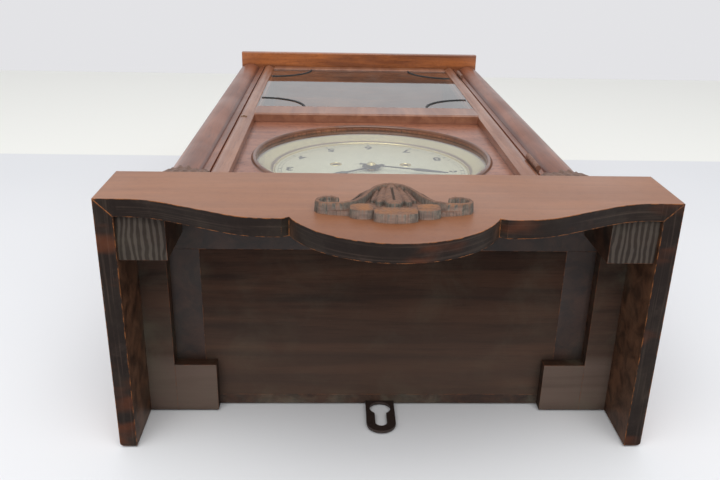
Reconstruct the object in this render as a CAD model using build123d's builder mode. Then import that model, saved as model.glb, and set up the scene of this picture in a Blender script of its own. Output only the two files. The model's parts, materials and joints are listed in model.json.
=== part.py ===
from build123d import *
from math import atan2, cos, degrees, pi, radians, sin, sqrt
import os

# Regulator wall clock, hanging upright. Millimetres.
# +Z is up, -Y is the front, and y = 0 is the plane of the wall.
# The origin is where the hanging screw seats in the keyhole plate.
# A "depth" is a distance forward of the wall, and a "drop" a distance below the crown's corners.

# Crown
crown_width = 375.0
crown_depth = 186.0
crown_corner_height = 58.5
crown_board = 12.0
shoulder_rise = 32.3
shoulder_half = 74.3
quirk_half = 67.5
quirk_depth = 2.7
lobe_rise = 70.5
lobe_radius = 69.0
ogee_radius = 66.0
ogee_slope = 26.6
soffit_thickness = 4.8
ledger_height = 9.0
front_block_width = 31.5
front_block_depth = 31.0
front_block_drop = 3.0
rear_block_width = 31.0
rear_block_depth = 39.5

# Carved crest on the fascia, measured from the crown's corner height
crest_half = 47.8
crest_relief = 7.0
crest_foot = -15.0
crest_top = 40.0
ribbon_width = 3.0

# Hanger plate
hanger_drop = 25.6
hanger_thickness = 2.0
hanger_half = 11.0
hanger_length = 92.0
keyhole_radius = 8.0
keyhole_drop = 18.4
slot_radius = 4.4
hanger_screw_drops = (48.0, 70.0)
hanger_screw_radius = 2.0

# Case
case_half = 155.0
side_board = 22.0
case_depth = 130.0
back_board = 8.0
top_board = 14.0
plinth_drop = 748.0

# Plinth
plinth_half = 181.0
plinth_depth = 166.0
plinth_board_height = 18.0
plinth_nose = 7.0
skirt_height = 16.0
skirt_setback = 10.0
skirt_board = 14.0

# Pilasters and capitals
pilaster_inner = 146.5
pilaster_outer = 181.5
pilaster_depth = 149.0
pilaster_back = 112.0
pilaster_flank = 143.0
groove_half = 155.6
groove_width = 2.2
fillet_band_depth = 145.0
capital_drop = 194.0
collar_height = 8.0
capital_spread = 4.5
capital_reach = 168.0

# Door
door_half = 146.0
door_back = 130.4
door_front = 147.0
door_gap = 1.8
stile_width = 16.0
reed_width = 11.5
bevel_fall = 2.0
top_rail_height = 39.0
cross_rail_drop = 421.5
cross_rail_height = 39.5
bottom_rail_height = 20.0
rebate = 4.0
glass_front = 144.0
glass_thickness = 3.0
glass_gap = 0.3
bead_width = 5.0
bead_depth = 6.0
panel_front = 136.0
panel_thickness = 5.6
opening_radius = 113.5
ring_width = 8.5
ring_height = 5.0
dial_glass_front = 134.0
dial_glass_thickness = 2.0
dial_glass_lap = 3.5
came_radius = 57.5
came_width = 2.4
came_height = 1.0

# Hinges on the viewer's left, and the lock on the viewer's right
knuckle_radius = 2.4
hinge_pin_radius = 1.1
hinge_height = 40.0
hinge_leaf = 0.9
hinge_leaf_depth = 14.0
hinge_drops = (222.0, 680.0)
hinge_axis_half = 146.25
hinge_axis_depth = 148.8
lock_drop = 400.0
lock_height = 34.0
lock_clearance = 2.0
lock_depth = 9.0
bolt_height = 12.0
bolt_thickness = 3.0
bolt_throw = 4.0
keyhole_bush_radius = 3.5

# Dial and hands
dial_drop = 281.0
dial_front = 122.0
dial_thickness = 1.2
dial_radius = 97.5
dial_hole = 5.0
bezel_inner = 96.0
bezel_width = 22.0
bezel_rise = 5.2
bezel_sheet = 0.9
winding_half = 35.5
winding_drop = 17.0
winding_hole = 4.6
minute_length = 78.0
hour_length = 54.0
minute_angle = 288.0
hour_angle = 54.0
hand_thickness = 0.7

# Movement. Heights and sides are from the dial's centre.
plate_half = 68.0
plate_thickness = 2.5
plate_below = 60.0
plate_above = 76.0
front_plate = 103.0
back_plate = 53.0
pillar_radius = 3.6
pillar_side = 60.0
pillar_low = -52.0
pillar_high = 68.0
arbor_radius = 1.5
pivot_radius = 1.0
running_fit = 0.05
end_play = 0.3
drum_radius = 24.0
drum_length = 21.0
winding_arbor_radius = 3.0
winding_square = 4.6
wheel_thickness = 1.8
great_depth = 74.2
centre_depth = 68.4
third_depth = 60.5
escape_depth = 56.0
cannon_depth = 106.5
hour_wheel_depth = 113.0
post_radius = 2.5
seat_rail_side = 40.0
seat_rail_width = 10.0
seat_rail_height = 8.0
pad_clearance = 1.4

# Wheel trains: teeth and modules
great_teeth = 72
strike_great_teeth = 60
centre_teeth = 72
third_side = 14.0
third_rise = 24.25
third_teeth = 72
escape_rise = 41.2
escape_teeth = 40
escape_radius = 16.0
pinion_leaves = 8
cannon_teeth = 12
minute_wheel_teeth = 36
minute_pinion_leaves = 10
hour_wheel_teeth = 40
motion_distance = 19.2

# Pendulum, hammers and gong
pendulum_depth = 36.0
bob_drop = 320.0
bob_radius = 42.0
bob_thickness = 18.0
rod_width = 9.0
rod_thickness = 4.5
spring_width = 6.0
spring_thickness = 0.3
nut_radius = 7.0
nut_height = 5.0
hammer_side = 50.0
hammer_drop = 48.0
hammer_length = 47.0
hammer_head_radius = 4.0
gong_side = 74.0
gong_rod_radius = 1.6
gong_rod_length = 250.0
gong_rod_depths = (22.0, 32.0, 42.0)
gong_block_height = 16.0
gong_block_drop = 59.0
strike_gap = 1.5

# Derived places
corner_z = hanger_drop
crown_low = corner_z - crown_corner_height
bezel_outer = bezel_inner + bezel_width
lock_width = stile_width - rebate - lock_clearance
case_top = crown_low + soffit_thickness
crown_half = crown_width / 2
crown_inner = crown_half - crown_board
crown_front_inner = crown_depth - crown_board
case_inner = case_half - side_board
plinth_top = corner_z - plinth_drop
door_top = crown_low - door_gap
door_low = plinth_top + door_gap
pane_half = door_half - stile_width
cross_top = corner_z - cross_rail_drop
cross_low = cross_top - cross_rail_height
top_rail_low = door_top - top_rail_height
bottom_rail_top = door_low + bottom_rail_height
dial_z = corner_z - dial_drop
winding_z = dial_z - winding_drop
great_module = 2 * sqrt(winding_half**2 + winding_drop**2) / (great_teeth + pinion_leaves)
centre_module = 2 * sqrt(third_side**2 + third_rise**2) / (centre_teeth + pinion_leaves)
third_module = 2 * sqrt(third_side**2 + (escape_rise - third_rise) ** 2) / (third_teeth + pinion_leaves)
cannon_module = 2 * motion_distance / (cannon_teeth + minute_wheel_teeth)
hour_module = 2 * motion_distance / (minute_pinion_leaves + hour_wheel_teeth)
escape_z = dial_z + escape_rise
suspension_z = escape_z + escape_radius * sqrt(2)
bob_z = suspension_z - bob_drop

os.makedirs("parts", exist_ok=True)


def save(builder, label):
    builder.part.label = label
    export_step(builder.part, f"parts/{label}.step")


def front(depth):
    """The upright plane this far in front of the wall, facing the viewer."""
    return Plane.XZ.offset(depth)


def level(height):
    return Plane.XY.offset(height)


def board(low_x, high_x, low_depth, high_depth, low_z, high_z, mode=Mode.ADD):
    """A board between its corners, added to the current part or cut from it."""
    with BuildSketch(level(low_z)) as section:
        with Locations(((low_x + high_x) / 2, -(low_depth + high_depth) / 2)):
            Rectangle(high_x - low_x, high_depth - low_depth)
    extrude(section.sketch, amount=high_z - low_z, mode=mode)


def side_span(side, near, far):
    """The two x values of a span that lies on one side of the clock, in order."""
    return sorted((side * near, side * far))


def disc(depth, thickness, radius, x, z, mode=Mode.ADD):
    """A round slice of the current part, on an axis that runs from back to front."""
    with BuildSketch(front(depth)) as slice_face:
        with Locations((x, z)):
            Circle(radius)
    extrude(slice_face.sketch, amount=thickness, mode=mode)


# Crown: three boards mitred at the front corners. The fascia's top edge is an ogee, a quirk and a lobe.
ogee_run = ogee_radius * sin(radians(ogee_slope))
ogee_lift = ogee_radius * (1 - cos(radians(ogee_slope)))
upper_start = (shoulder_half + ogee_run, corner_z + shoulder_rise - ogee_lift)
straight_run = (shoulder_rise - 2 * ogee_lift) * cos(radians(ogee_slope)) / sin(radians(ogee_slope))
lower_end = (upper_start[0] + straight_run, corner_z + ogee_lift)
flat_half = lower_end[0] + ogee_run
lobe_centre = corner_z + lobe_rise - lobe_radius
lobe_edge_z = corner_z + shoulder_rise - quirk_depth
lobe_edge_x = sqrt(lobe_radius**2 - (lobe_edge_z - lobe_centre) ** 2)

with BuildPart() as fascia:
    with BuildSketch(front(crown_front_inner)):
        with BuildLine():
            low = Line((0, crown_low), (crown_half, crown_low))
            end = Line(low @ 1, (crown_half, corner_z))
            flat = Line(end @ 1, (flat_half, corner_z))
            lower = RadiusArc(flat @ 1, lower_end, ogee_radius)
            slope = Line(lower @ 1, upper_start)
            upper = RadiusArc(slope @ 1, (shoulder_half, corner_z + shoulder_rise), -ogee_radius)
            shoulder = Line(upper @ 1, (quirk_half, corner_z + shoulder_rise))
            quirk = Line(shoulder @ 1, (lobe_edge_x, lobe_edge_z))
            lobe = RadiusArc(quirk @ 1, (0, corner_z + lobe_rise), -lobe_radius)
            Line(lobe @ 1, low @ 0)
        make_face()
        mirror(about=Plane.YZ)
    extrude(amount=crown_board)
    for side in (1, -1):
        with BuildSketch(level(crown_low)):
            with BuildLine():
                Polyline(
                    (side * crown_half, -crown_depth),
                    (side * crown_half, -crown_front_inner),
                    (side * crown_inner, -crown_front_inner),
                    close=True,
                )
            make_face()
        extrude(amount=crown_corner_height, mode=Mode.SUBTRACT)
save(fascia, "fascia")

with BuildPart() as crown_sides:
    for side in (1, -1):
        with BuildSketch(level(crown_low)):
            with BuildLine():
                Polyline(
                    (side * crown_half, 0),
                    (side * crown_half, -crown_depth),
                    (side * crown_inner, -crown_front_inner),
                    (side * crown_inner, 0),
                    close=True,
                )
            make_face()
        extrude(amount=crown_corner_height)
    back_edges = crown_sides.edges().filter_by(Axis.Z).group_by(Axis.Y)[-1].sort_by(Axis.X)
    fillet([back_edges[0], back_edges[-1]], radius=2.5)
save(crown_sides, "crown_sides")

# The soffit closes the underside of the overhang, flush with the crown's lower edge
with BuildPart() as crown_soffit:
    board(-crown_inner, crown_inner, case_depth, crown_front_inner, crown_low, case_top)
    for side in (1, -1):
        board(*side_span(side, case_half, crown_inner), 0, case_depth, crown_low, case_top)
save(crown_soffit, "crown_soffit")

front_block_back = crown_front_inner - front_block_depth
with BuildPart() as ledger_strips:
    for side in (1, -1):
        board(*side_span(side, case_half, crown_inner), 0, front_block_back,
              case_top, case_top + ledger_height)
save(ledger_strips, "ledger_strips")

with BuildPart() as glue_blocks:
    for side in (1, -1):
        board(*side_span(side, crown_inner - front_block_width, crown_inner),
              front_block_back, crown_front_inner, case_top, corner_z - front_block_drop)
        board(*side_span(side, case_half - rear_block_width, case_half), 0, rear_block_depth,
              case_top, case_top + ledger_height)
save(glue_blocks, "glue_blocks")

# Carved crest: two scrolled ribbons, a fan of lobes above their meeting, and three scallops on top
fan_root = corner_z + crest_foot + 3
with BuildPart() as crest:
    with BuildSketch(front(crown_depth)):
        with BuildLine():
            sweep_up = Spline((0, corner_z + crest_foot), (12, corner_z - 1), (26, corner_z + 17),
                              (crest_half - 7, corner_z + 19), tangents=[(1, 0.6), (1, 0)])
            rim = Line(sweep_up @ 1, (crest_half - 7, corner_z + 24))
            brow = Spline(rim @ 1, (25, corner_z + 31), (0, corner_z + crest_top),
                          tangents=[(-1, 0.3), (-1, 0)])
            Line(brow @ 1, sweep_up @ 0)
        make_face()
        mirror(about=Plane.YZ)
    extrude(amount=crest_relief * 0.4)
    for side in (1, -1):
        with BuildSketch(front(crown_depth)):
            with Locations((side * (crest_half - 7), corner_z + 16.5)):
                Circle(7)
                Circle(7 - ribbon_width, mode=Mode.SUBTRACT)
            with Locations((side * (crest_half - 14), corner_z + 13)):
                Rectangle(7, 5, mode=Mode.SUBTRACT)
            with BuildLine():
                outer = Spline((side * 1.5, corner_z + crest_foot), (side * 12, corner_z + 3),
                               (side * 25, corner_z + 20), (side * (crest_half - 7), corner_z + 23.5),
                               tangents=[(side * 0.4, 1), (side, 0)])
                step = Line(outer @ 1, (side * (crest_half - 7), corner_z + 23.5 - ribbon_width))
                inner = Spline(step @ 1, (side * 27, corner_z + 17), (side * 15, corner_z + 1),
                               (side * 4.5, corner_z + crest_foot), tangents=[(-side, 0), (-side * 0.4, -1)])
                Line(inner @ 1, outer @ 0)
            make_face()
        extrude(amount=crest_relief)
    with BuildSketch(front(crown_depth)):
        for lean, length, width in ((0, 17, 6.5), (24, 15, 4.5), (-24, 15, 4.5), (44, 12, 3.2), (-44, 12, 3.2)):
            reach = length * 0.95
            with Locations(Location((reach * sin(radians(lean)), fan_root + reach * cos(radians(lean)), 0),
                                    (0, 0, -lean))):
                Ellipse(width, length)
    extrude(amount=crest_relief * 0.85)
    with BuildSketch(front(crown_depth)):
        for across, rise, half in ((0, 33.5, 12.5), (19, 28.5, 8), (-19, 28.5, 8)):
            with Locations((across, corner_z + rise)):
                Ellipse(half, 5)
    extrude(amount=crest_relief * 0.95)
save(crest, "crest")

# Keyhole hanger, let into the back board and screwed to it
with BuildPart() as hanger_plate:
    with BuildSketch(front(0)):
        Circle(hanger_half)
        with Locations((0, (hanger_half - hanger_length) / 2)):
            Rectangle(2 * hanger_half, hanger_length - hanger_half)
        with Locations((0, -keyhole_drop)):
            Circle(keyhole_radius, mode=Mode.SUBTRACT)
        with Locations((0, -keyhole_drop / 2)):
            SlotCenterToCenter(keyhole_drop, 2 * slot_radius, rotation=90, mode=Mode.SUBTRACT)
        with Locations(*[(0, -drop) for drop in hanger_screw_drops]):
            Circle(hanger_screw_radius + running_fit, mode=Mode.SUBTRACT)
    extrude(amount=hanger_thickness)
    fillet(hanger_plate.edges().filter_by(Axis.Y).group_by(Axis.Z)[0], radius=3)
save(hanger_plate, "hanger_plate")

screw_length = 5.0
with BuildPart() as hanger_screws:
    for drop in hanger_screw_drops:
        disc(0.2, hanger_thickness + screw_length, hanger_screw_radius, 0, -drop)
save(hanger_screws, "hanger_screws")

# Case boards. The sides stand on the plinth, and the back and the top are held between them.
with BuildPart() as case_back:
    board(-case_inner, case_inner, 0, back_board, plinth_top, case_top)
    board(-hanger_half - 0.2, hanger_half + 0.2, 0, hanger_thickness,
          hanger_half - hanger_length - 0.2, case_top, mode=Mode.SUBTRACT)
    for drop in hanger_screw_drops:
        disc(0, hanger_thickness + screw_length + 0.4, hanger_screw_radius + running_fit, 0, -drop,
             mode=Mode.SUBTRACT)
save(case_back, "case_back")

with BuildPart() as case_sides:
    for side in (1, -1):
        board(*side_span(side, case_inner, case_half), 0, case_depth, plinth_top, case_top)
save(case_sides, "case_sides")

with BuildPart() as case_top_board:
    board(-case_inner, case_inner, back_board, case_depth, case_top - top_board, case_top)
save(case_top_board, "case_top_board")

# Plinth: a nosed board on a moulded skirt
with BuildPart() as plinth_slab:
    board(-plinth_half, plinth_half, 0, plinth_depth, plinth_top - plinth_board_height, plinth_top)
    lower_edges = plinth_slab.faces().sort_by(Axis.Z)[0].edges().sort_by(Axis.Y)[:-1]
    fillet(lower_edges, radius=plinth_nose)
    upper_edges = plinth_slab.faces().sort_by(Axis.Z)[-1].edges().sort_by(Axis.Y)[:-1]
    fillet(upper_edges, radius=1.2)
save(plinth_slab, "plinth_slab")

skirt_top = plinth_top - plinth_board_height
with BuildPart() as plinth_skirt:
    board(skirt_setback - plinth_half, plinth_half - skirt_setback, 0, plinth_depth - skirt_setback,
          skirt_top - skirt_height, skirt_top)
    board(skirt_setback + skirt_board - plinth_half, plinth_half - skirt_setback - skirt_board,
          0, plinth_depth - skirt_setback - skirt_board, skirt_top - skirt_height, skirt_top,
          mode=Mode.SUBTRACT)
    foot = plinth_skirt.edges().group_by(Axis.Z)[0].filter_by(Axis.X).sort_by(Axis.Y)[0]
    chamfer(foot, length=6)
save(plinth_skirt, "plinth_skirt")

# Pilasters: a half round column, a groove and a fillet band, notched round the case's front corner
for side, name in ((1, "pilaster_right"), (-1, "pilaster_left")):
    hinge_side = side < 0
    with BuildPart() as pilaster:
        with BuildSketch(level(plinth_top)):
            with BuildLine():
                back = Polyline(
                    (side * pilaster_inner, -fillet_band_depth),
                    (side * pilaster_inner, -case_depth),
                    (side * case_half, -case_depth),
                    (side * case_half, -pilaster_back),
                    (side * pilaster_outer, -pilaster_back),
                    (side * pilaster_outer, -pilaster_flank),
                )
                column = ThreePointArc(
                    back @ 1,
                    (side * (pilaster_outer + groove_half) / 2, -pilaster_depth),
                    (side * groove_half, -pilaster_flank),
                )
                Polyline(
                    column @ 1,
                    (side * (groove_half - groove_width / 2), -pilaster_flank + 1.5),
                    (side * (groove_half - groove_width), -pilaster_flank),
                    back @ 0,
                )
            make_face()
        extrude(amount=crown_low - plinth_top)
        if hinge_side:
            for drop in hinge_drops:
                board(-pilaster_inner - hinge_leaf, -pilaster_inner, hinge_axis_depth - hinge_leaf_depth,
                      hinge_axis_depth, corner_z - drop - hinge_height / 2, corner_z - drop + hinge_height / 2,
                      mode=Mode.SUBTRACT)
        else:
            mortise = bolt_height / 2 + end_play
            board(pilaster_inner, pilaster_inner + bolt_throw + 1,
                  door_back + lock_depth / 2 - bolt_thickness / 2 - end_play,
                  door_back + lock_depth / 2 + bolt_thickness / 2 + end_play,
                  corner_z - lock_drop - mortise, corner_z - lock_drop + mortise, mode=Mode.SUBTRACT)
    save(pilaster, name)

# Capitals: a collar across each pilaster, and a scrolled bracket from it up to the crown
capital_low = corner_z - capital_drop
capital_inner = pilaster_inner + 0.5
capital_outer = pilaster_outer + capital_spread
with BuildPart() as capitals:
    for side in (1, -1):
        with BuildSketch(Plane.YZ.offset(side * capital_inner)):
            with BuildLine():
                heel = Polyline(
                    (-pilaster_depth, crown_low),
                    (-pilaster_depth, capital_low),
                    (-pilaster_depth - 1.5, capital_low),
                )
                bead = ThreePointArc(
                    heel @ 1,
                    (-pilaster_depth - capital_spread - 1, capital_low + collar_height / 2),
                    (-pilaster_depth - 1.5, capital_low + collar_height),
                )
                leaf = Spline(
                    bead @ 1,
                    (-pilaster_depth - 3, capital_low + 40),
                    (-capital_reach + 6, crown_low - 44),
                    (-capital_reach, crown_low - 16),
                    tangents=[(0, 1), (0, 1)],
                )
                Polyline(leaf @ 1, (-capital_reach, crown_low), heel @ 0)
            make_face()
        extrude(amount=side * (capital_outer - capital_inner))
        board(*side_span(side, pilaster_outer, capital_outer), pilaster_back + 8, pilaster_depth + 1.5,
              capital_low, capital_low + collar_height)
save(capitals, "capitals")

# Door stiles: a reed and a bevel in front, and rebates for the panel and the pane behind
lock_low = corner_z - lock_drop - lock_height / 2
lock_high = corner_z - lock_drop + lock_height / 2
lock_inner = pane_half + rebate + 0.2
bolt_back = door_back + lock_depth / 2 - bolt_thickness / 2
bolt_front = bolt_back + bolt_thickness
keyhole_x = lock_inner + lock_width / 2
reed_inner = door_half - reed_width
for side, name in ((1, "door_stile_right"), (-1, "door_stile_left")):
    hinge_side = side < 0
    with BuildPart() as stile:
        with BuildSketch(level(door_low)):
            with BuildLine():
                sides = Polyline(
                    (side * reed_inner, -door_front + bevel_fall),
                    (side * pane_half, -door_front + bevel_fall + 1.5),
                    (side * pane_half, -door_back),
                    (side * door_half, -door_back),
                    (side * door_half, -door_front + 2 * bevel_fall),
                )
                ThreePointArc(
                    sides @ 1,
                    (side * (reed_inner + reed_width / 2), -door_front),
                    sides @ 0,
                )
            make_face()
        extrude(amount=door_top - door_low)
        board(*side_span(side, pane_half, pane_half + rebate), door_back, panel_front,
              cross_top - rebate, top_rail_low + rebate, mode=Mode.SUBTRACT)
        board(*side_span(side, pane_half, pane_half + rebate), door_back, glass_front,
              bottom_rail_top - rebate, cross_low + rebate, mode=Mode.SUBTRACT)
        if hinge_side:
            for drop in hinge_drops:
                board(-door_half, -door_half + hinge_leaf, hinge_axis_depth - hinge_leaf_depth,
                      hinge_axis_depth, corner_z - drop - hinge_height / 2, corner_z - drop + hinge_height / 2,
                      mode=Mode.SUBTRACT)
        else:
            board(lock_inner - 0.1, lock_inner + lock_width + 0.1, door_back, door_back + lock_depth + 0.1,
                  lock_low - 0.1, lock_high + 0.1, mode=Mode.SUBTRACT)
            board(lock_inner + lock_width, door_half, bolt_back - end_play, bolt_front + end_play,
                  corner_z - lock_drop - bolt_height / 2 - end_play,
                  corner_z - lock_drop + bolt_height / 2 + end_play, mode=Mode.SUBTRACT)
            disc(door_back + lock_depth, door_front - door_back - lock_depth + 2,
                 keyhole_bush_radius + running_fit, keyhole_x, corner_z - lock_drop, mode=Mode.SUBTRACT)
    save(stile, name)


def rail(label, low_z, high_z, rebates):
    """A door rail between the stiles. rebates holds (low, high, depth) of what is cut from its back."""
    with BuildPart() as bar:
        board(-pane_half, pane_half, door_back, door_front - 1, low_z, high_z)
        arris = bar.faces().sort_by(Axis.Y)[0].edges().filter_by(Axis.X)
        chamfer(arris, length=1.5)
        for cut_low, cut_high, cut_depth in rebates:
            board(-pane_half, pane_half, door_back, cut_depth, cut_low, cut_high, mode=Mode.SUBTRACT)
    save(bar, label)


rail("door_top_rail", top_rail_low, door_top, [(top_rail_low, top_rail_low + rebate, panel_front)])
rail("door_cross_rail", cross_low, cross_top,
     [(cross_top - rebate, cross_top, panel_front), (cross_low, cross_low + rebate, glass_front)])
rail("door_bottom_rail", door_low, bottom_rail_top,
     [(bottom_rail_top - rebate, bottom_rail_top, glass_front)])

# Dial panel with its round opening, ring moulding and glass
panel_half = pane_half + rebate - glass_gap
with BuildPart() as dial_panel:
    board(-panel_half, panel_half, panel_front - panel_thickness, panel_front,
          cross_top - rebate + glass_gap, top_rail_low + rebate - glass_gap)
    disc(panel_front - panel_thickness, panel_thickness, opening_radius, 0, dial_z, mode=Mode.SUBTRACT)
    disc(panel_front - panel_thickness, dial_glass_front - panel_front + panel_thickness,
         opening_radius + dial_glass_lap + glass_gap, 0, dial_z, mode=Mode.SUBTRACT)
save(dial_panel, "dial_panel")

ring_profile = (
    (0, 0),
    (0.6, 0),
    (1.0, 0.3),
    (0.85, 0.62),
    (0.3, 0.8),
    (0, 1.0),
)
with BuildPart() as dial_ring:
    with BuildSketch(Plane.YZ):
        Polygon(*[(-panel_front - ring_height * rise, dial_z + opening_radius + ring_width * out)
                  for rise, out in ring_profile], align=None)
    revolve(axis=Axis((0, 0, dial_z), (0, 1, 0)))
save(dial_ring, "dial_ring")

with BuildPart() as dial_glass:
    disc(dial_glass_front - dial_glass_thickness, dial_glass_thickness,
         opening_radius + dial_glass_lap, 0, dial_z)
save(dial_glass, "dial_glass")

with BuildPart() as glass_ring:
    ring_back = panel_front - panel_thickness
    disc(ring_back, dial_glass_front - dial_glass_thickness - ring_back,
         opening_radius + dial_glass_lap, 0, dial_z)
    disc(ring_back, panel_thickness, opening_radius, 0, dial_z, mode=Mode.SUBTRACT)
save(glass_ring, "glass_ring")

# Lower pane, its beads, and the arcs of lead line in its corners
lower_half = pane_half + rebate - glass_gap
lower_low = bottom_rail_top - rebate + glass_gap
lower_high = cross_low + rebate - glass_gap
with BuildPart() as lower_glass:
    board(-lower_half, lower_half, glass_front - glass_thickness, glass_front, lower_low, lower_high)
save(lower_glass, "lower_glass")

bead_front = glass_front - glass_thickness
with BuildPart() as glass_beads:
    board(-lower_half, lower_half, bead_front - bead_depth, bead_front, lower_low, lower_high)
    board(bead_width - lower_half, lower_half - bead_width, bead_front - bead_depth, bead_front,
          lower_low + bead_width, lower_high - bead_width, mode=Mode.SUBTRACT)
save(glass_beads, "glass_beads")

with BuildPart() as glass_cames:
    for side in (1, -1):
        for corner, turn in ((cross_low, -1), (bottom_rail_top, 1)):
            with BuildSketch(front(glass_front)):
                with Locations((side * pane_half, corner)):
                    Circle(came_radius)
                    Circle(came_radius - came_width, mode=Mode.SUBTRACT)
                with Locations((side * (pane_half - came_radius / 2), corner + turn * came_radius / 2)):
                    Rectangle(came_radius, came_radius, mode=Mode.INTERSECT)
            extrude(amount=came_height)
save(glass_cames, "glass_cames")

# Hinges: three knuckles, the middle one the door's, on a pin fixed in the outer two
knuckle_length = (hinge_height - 2 * end_play) / 3
leaf_back = hinge_axis_depth - hinge_leaf_depth
leaf_short = hinge_axis_depth - knuckle_radius - end_play
with BuildPart() as hinge_case_leaves:
    for drop in hinge_drops:
        low_z = corner_z - drop - hinge_height / 2
        board(-pilaster_inner - hinge_leaf, -pilaster_inner, leaf_back, leaf_short,
              low_z, low_z + hinge_height)
        for start in (low_z, low_z + hinge_height - knuckle_length):
            board(-pilaster_inner - hinge_leaf, -pilaster_inner, leaf_short, hinge_axis_depth,
                  start, start + knuckle_length)
            with BuildSketch(level(start)):
                with Locations((-hinge_axis_half, -hinge_axis_depth)):
                    Circle(knuckle_radius)
            extrude(amount=knuckle_length)
        with BuildSketch(level(low_z)):
            with Locations((-hinge_axis_half, -hinge_axis_depth)):
                Circle(hinge_pin_radius)
        extrude(amount=hinge_height)
save(hinge_case_leaves, "hinge_case_leaves")

with BuildPart() as hinge_door_leaves:
    for drop in hinge_drops:
        low_z = corner_z - drop - hinge_height / 2
        middle = low_z + knuckle_length + end_play
        board(-door_half, -door_half + hinge_leaf, leaf_back, leaf_short, low_z, low_z + hinge_height)
        board(-door_half, -door_half + hinge_leaf, leaf_short, hinge_axis_depth, middle, middle + knuckle_length)
        with BuildSketch(level(middle)):
            with Locations((-hinge_axis_half, -hinge_axis_depth)):
                Circle(knuckle_radius)
        extrude(amount=knuckle_length)
        with BuildSketch(level(low_z)):
            with Locations((-hinge_axis_half, -hinge_axis_depth)):
                Circle(hinge_pin_radius + running_fit)
        extrude(amount=hinge_height, mode=Mode.SUBTRACT)
save(hinge_door_leaves, "hinge_door_leaves")

# Mortise lock in the right stile: its case, its bolt and its keyhole bush
with BuildPart() as lock_case:
    board(lock_inner, lock_inner + lock_width, door_back, door_back + lock_depth, lock_low, lock_high)
    board(lock_inner + 2, lock_inner + lock_width, bolt_back - 0.2, bolt_front + 0.2,
          corner_z - lock_drop - bolt_height / 2 - 0.2, corner_z - lock_drop + bolt_height / 2 + 0.2,
          mode=Mode.SUBTRACT)
save(lock_case, "lock_case")

with BuildPart() as lock_bolt:
    board(lock_inner + 2.5, door_half - 0.4, bolt_back, bolt_front,
          corner_z - lock_drop - bolt_height / 2, corner_z - lock_drop + bolt_height / 2)
    fillet(lock_bolt.edges().filter_by(Axis.Z).group_by(Axis.X)[-1], radius=1)
save(lock_bolt, "lock_bolt")

with BuildPart() as keyhole_bush:
    disc(door_back + lock_depth, door_front - door_back - lock_depth + 0.3, keyhole_bush_radius,
         keyhole_x, corner_z - lock_drop)
    disc(door_back + lock_depth, door_front, 1.7, keyhole_x, corner_z - lock_drop, mode=Mode.SUBTRACT)
save(keyhole_bush, "keyhole_bush")

# Dial plate, and the polished bezel that dishes outwards round it
with BuildPart() as dial_plate:
    disc(dial_front - dial_thickness, dial_thickness, dial_radius, 0, dial_z)
    disc(dial_front - dial_thickness, dial_thickness, dial_hole, 0, dial_z, mode=Mode.SUBTRACT)
    for side in (1, -1):
        disc(dial_front - dial_thickness, dial_thickness, winding_hole, side * winding_half, winding_z,
             mode=Mode.SUBTRACT)
save(dial_plate, "dial_plate")

bezel_middle = (bezel_inner + bezel_outer) / 2
with BuildPart() as bezel:
    with BuildSketch(Plane.YZ):
        with BuildLine():
            Polyline(
                (-dial_front + dial_thickness, dial_z + dial_radius + 0.1),
                (-dial_front, dial_z + dial_radius + 0.1),
                (-dial_front, dial_z + bezel_inner),
                (-dial_front - bezel_sheet, dial_z + bezel_inner),
                (-dial_front - bezel_sheet - bezel_rise * 0.25, dial_z + bezel_middle),
                (-dial_front - bezel_rise, dial_z + bezel_outer - bezel_sheet),
                (-dial_front - bezel_rise, dial_z + bezel_outer),
                (-dial_front - bezel_rise + 2, dial_z + bezel_outer),
                (-dial_front - bezel_rise * 0.25, dial_z + bezel_middle),
                close=True,
            )
        make_face()
    revolve(axis=Axis((0, 0, dial_z), (0, 1, 0)))
save(bezel, "bezel")

# Hands: a tapered blade with a boss, pointing away from the centre at its angle from twelve


def hand(label, depth, length, width, angle, boss_radius, bore):
    aim = Plane(origin=(0, -depth, dial_z), x_dir=(cos(radians(angle)), 0, -sin(radians(angle))),
                z_dir=(0, -1, 0))
    with BuildPart() as blade:
        with BuildSketch(aim):
            with BuildLine():
                flank = Polyline((0, -boss_radius * 2.2), (width * 0.45, -boss_radius * 2.2), (width * 0.3, 0),
                                 (width * 0.3, length * 0.55))
                spade = Spline(flank @ 1, (width, length * 0.7), (0, length), tangents=[(1, 0.6), (-0.3, 1)])
                Line(spade @ 1, flank @ 0)
            make_face()
            mirror(about=Plane.YZ)
            Circle(boss_radius)
            Circle(bore, mode=Mode.SUBTRACT)
        extrude(amount=hand_thickness)
    save(blade, label)


centre_arbor_radius = 1.8
cannon_bore = centre_arbor_radius + running_fit
cannon_pipe = 2.6
hour_bore = cannon_pipe + running_fit
hour_pipe = 4.0
hour_hand_depth = 124.2
minute_hand_depth = 126.4
hand("minute_hand", minute_hand_depth, minute_length, 3.4, minute_angle, 5.5, cannon_pipe)
hand("hour_hand", hour_hand_depth, hour_length, 4.6, hour_angle, 7.0, hour_pipe)

# Toothed wheels, each with a tooth or a gap turned to its partner
wheel_share = 0.40
pinion_share = 0.34
wheel_addendum = 0.95
pinion_addendum = 0.70
wheel_dedendum = 1.25
pinion_dedendum = 1.45


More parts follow.
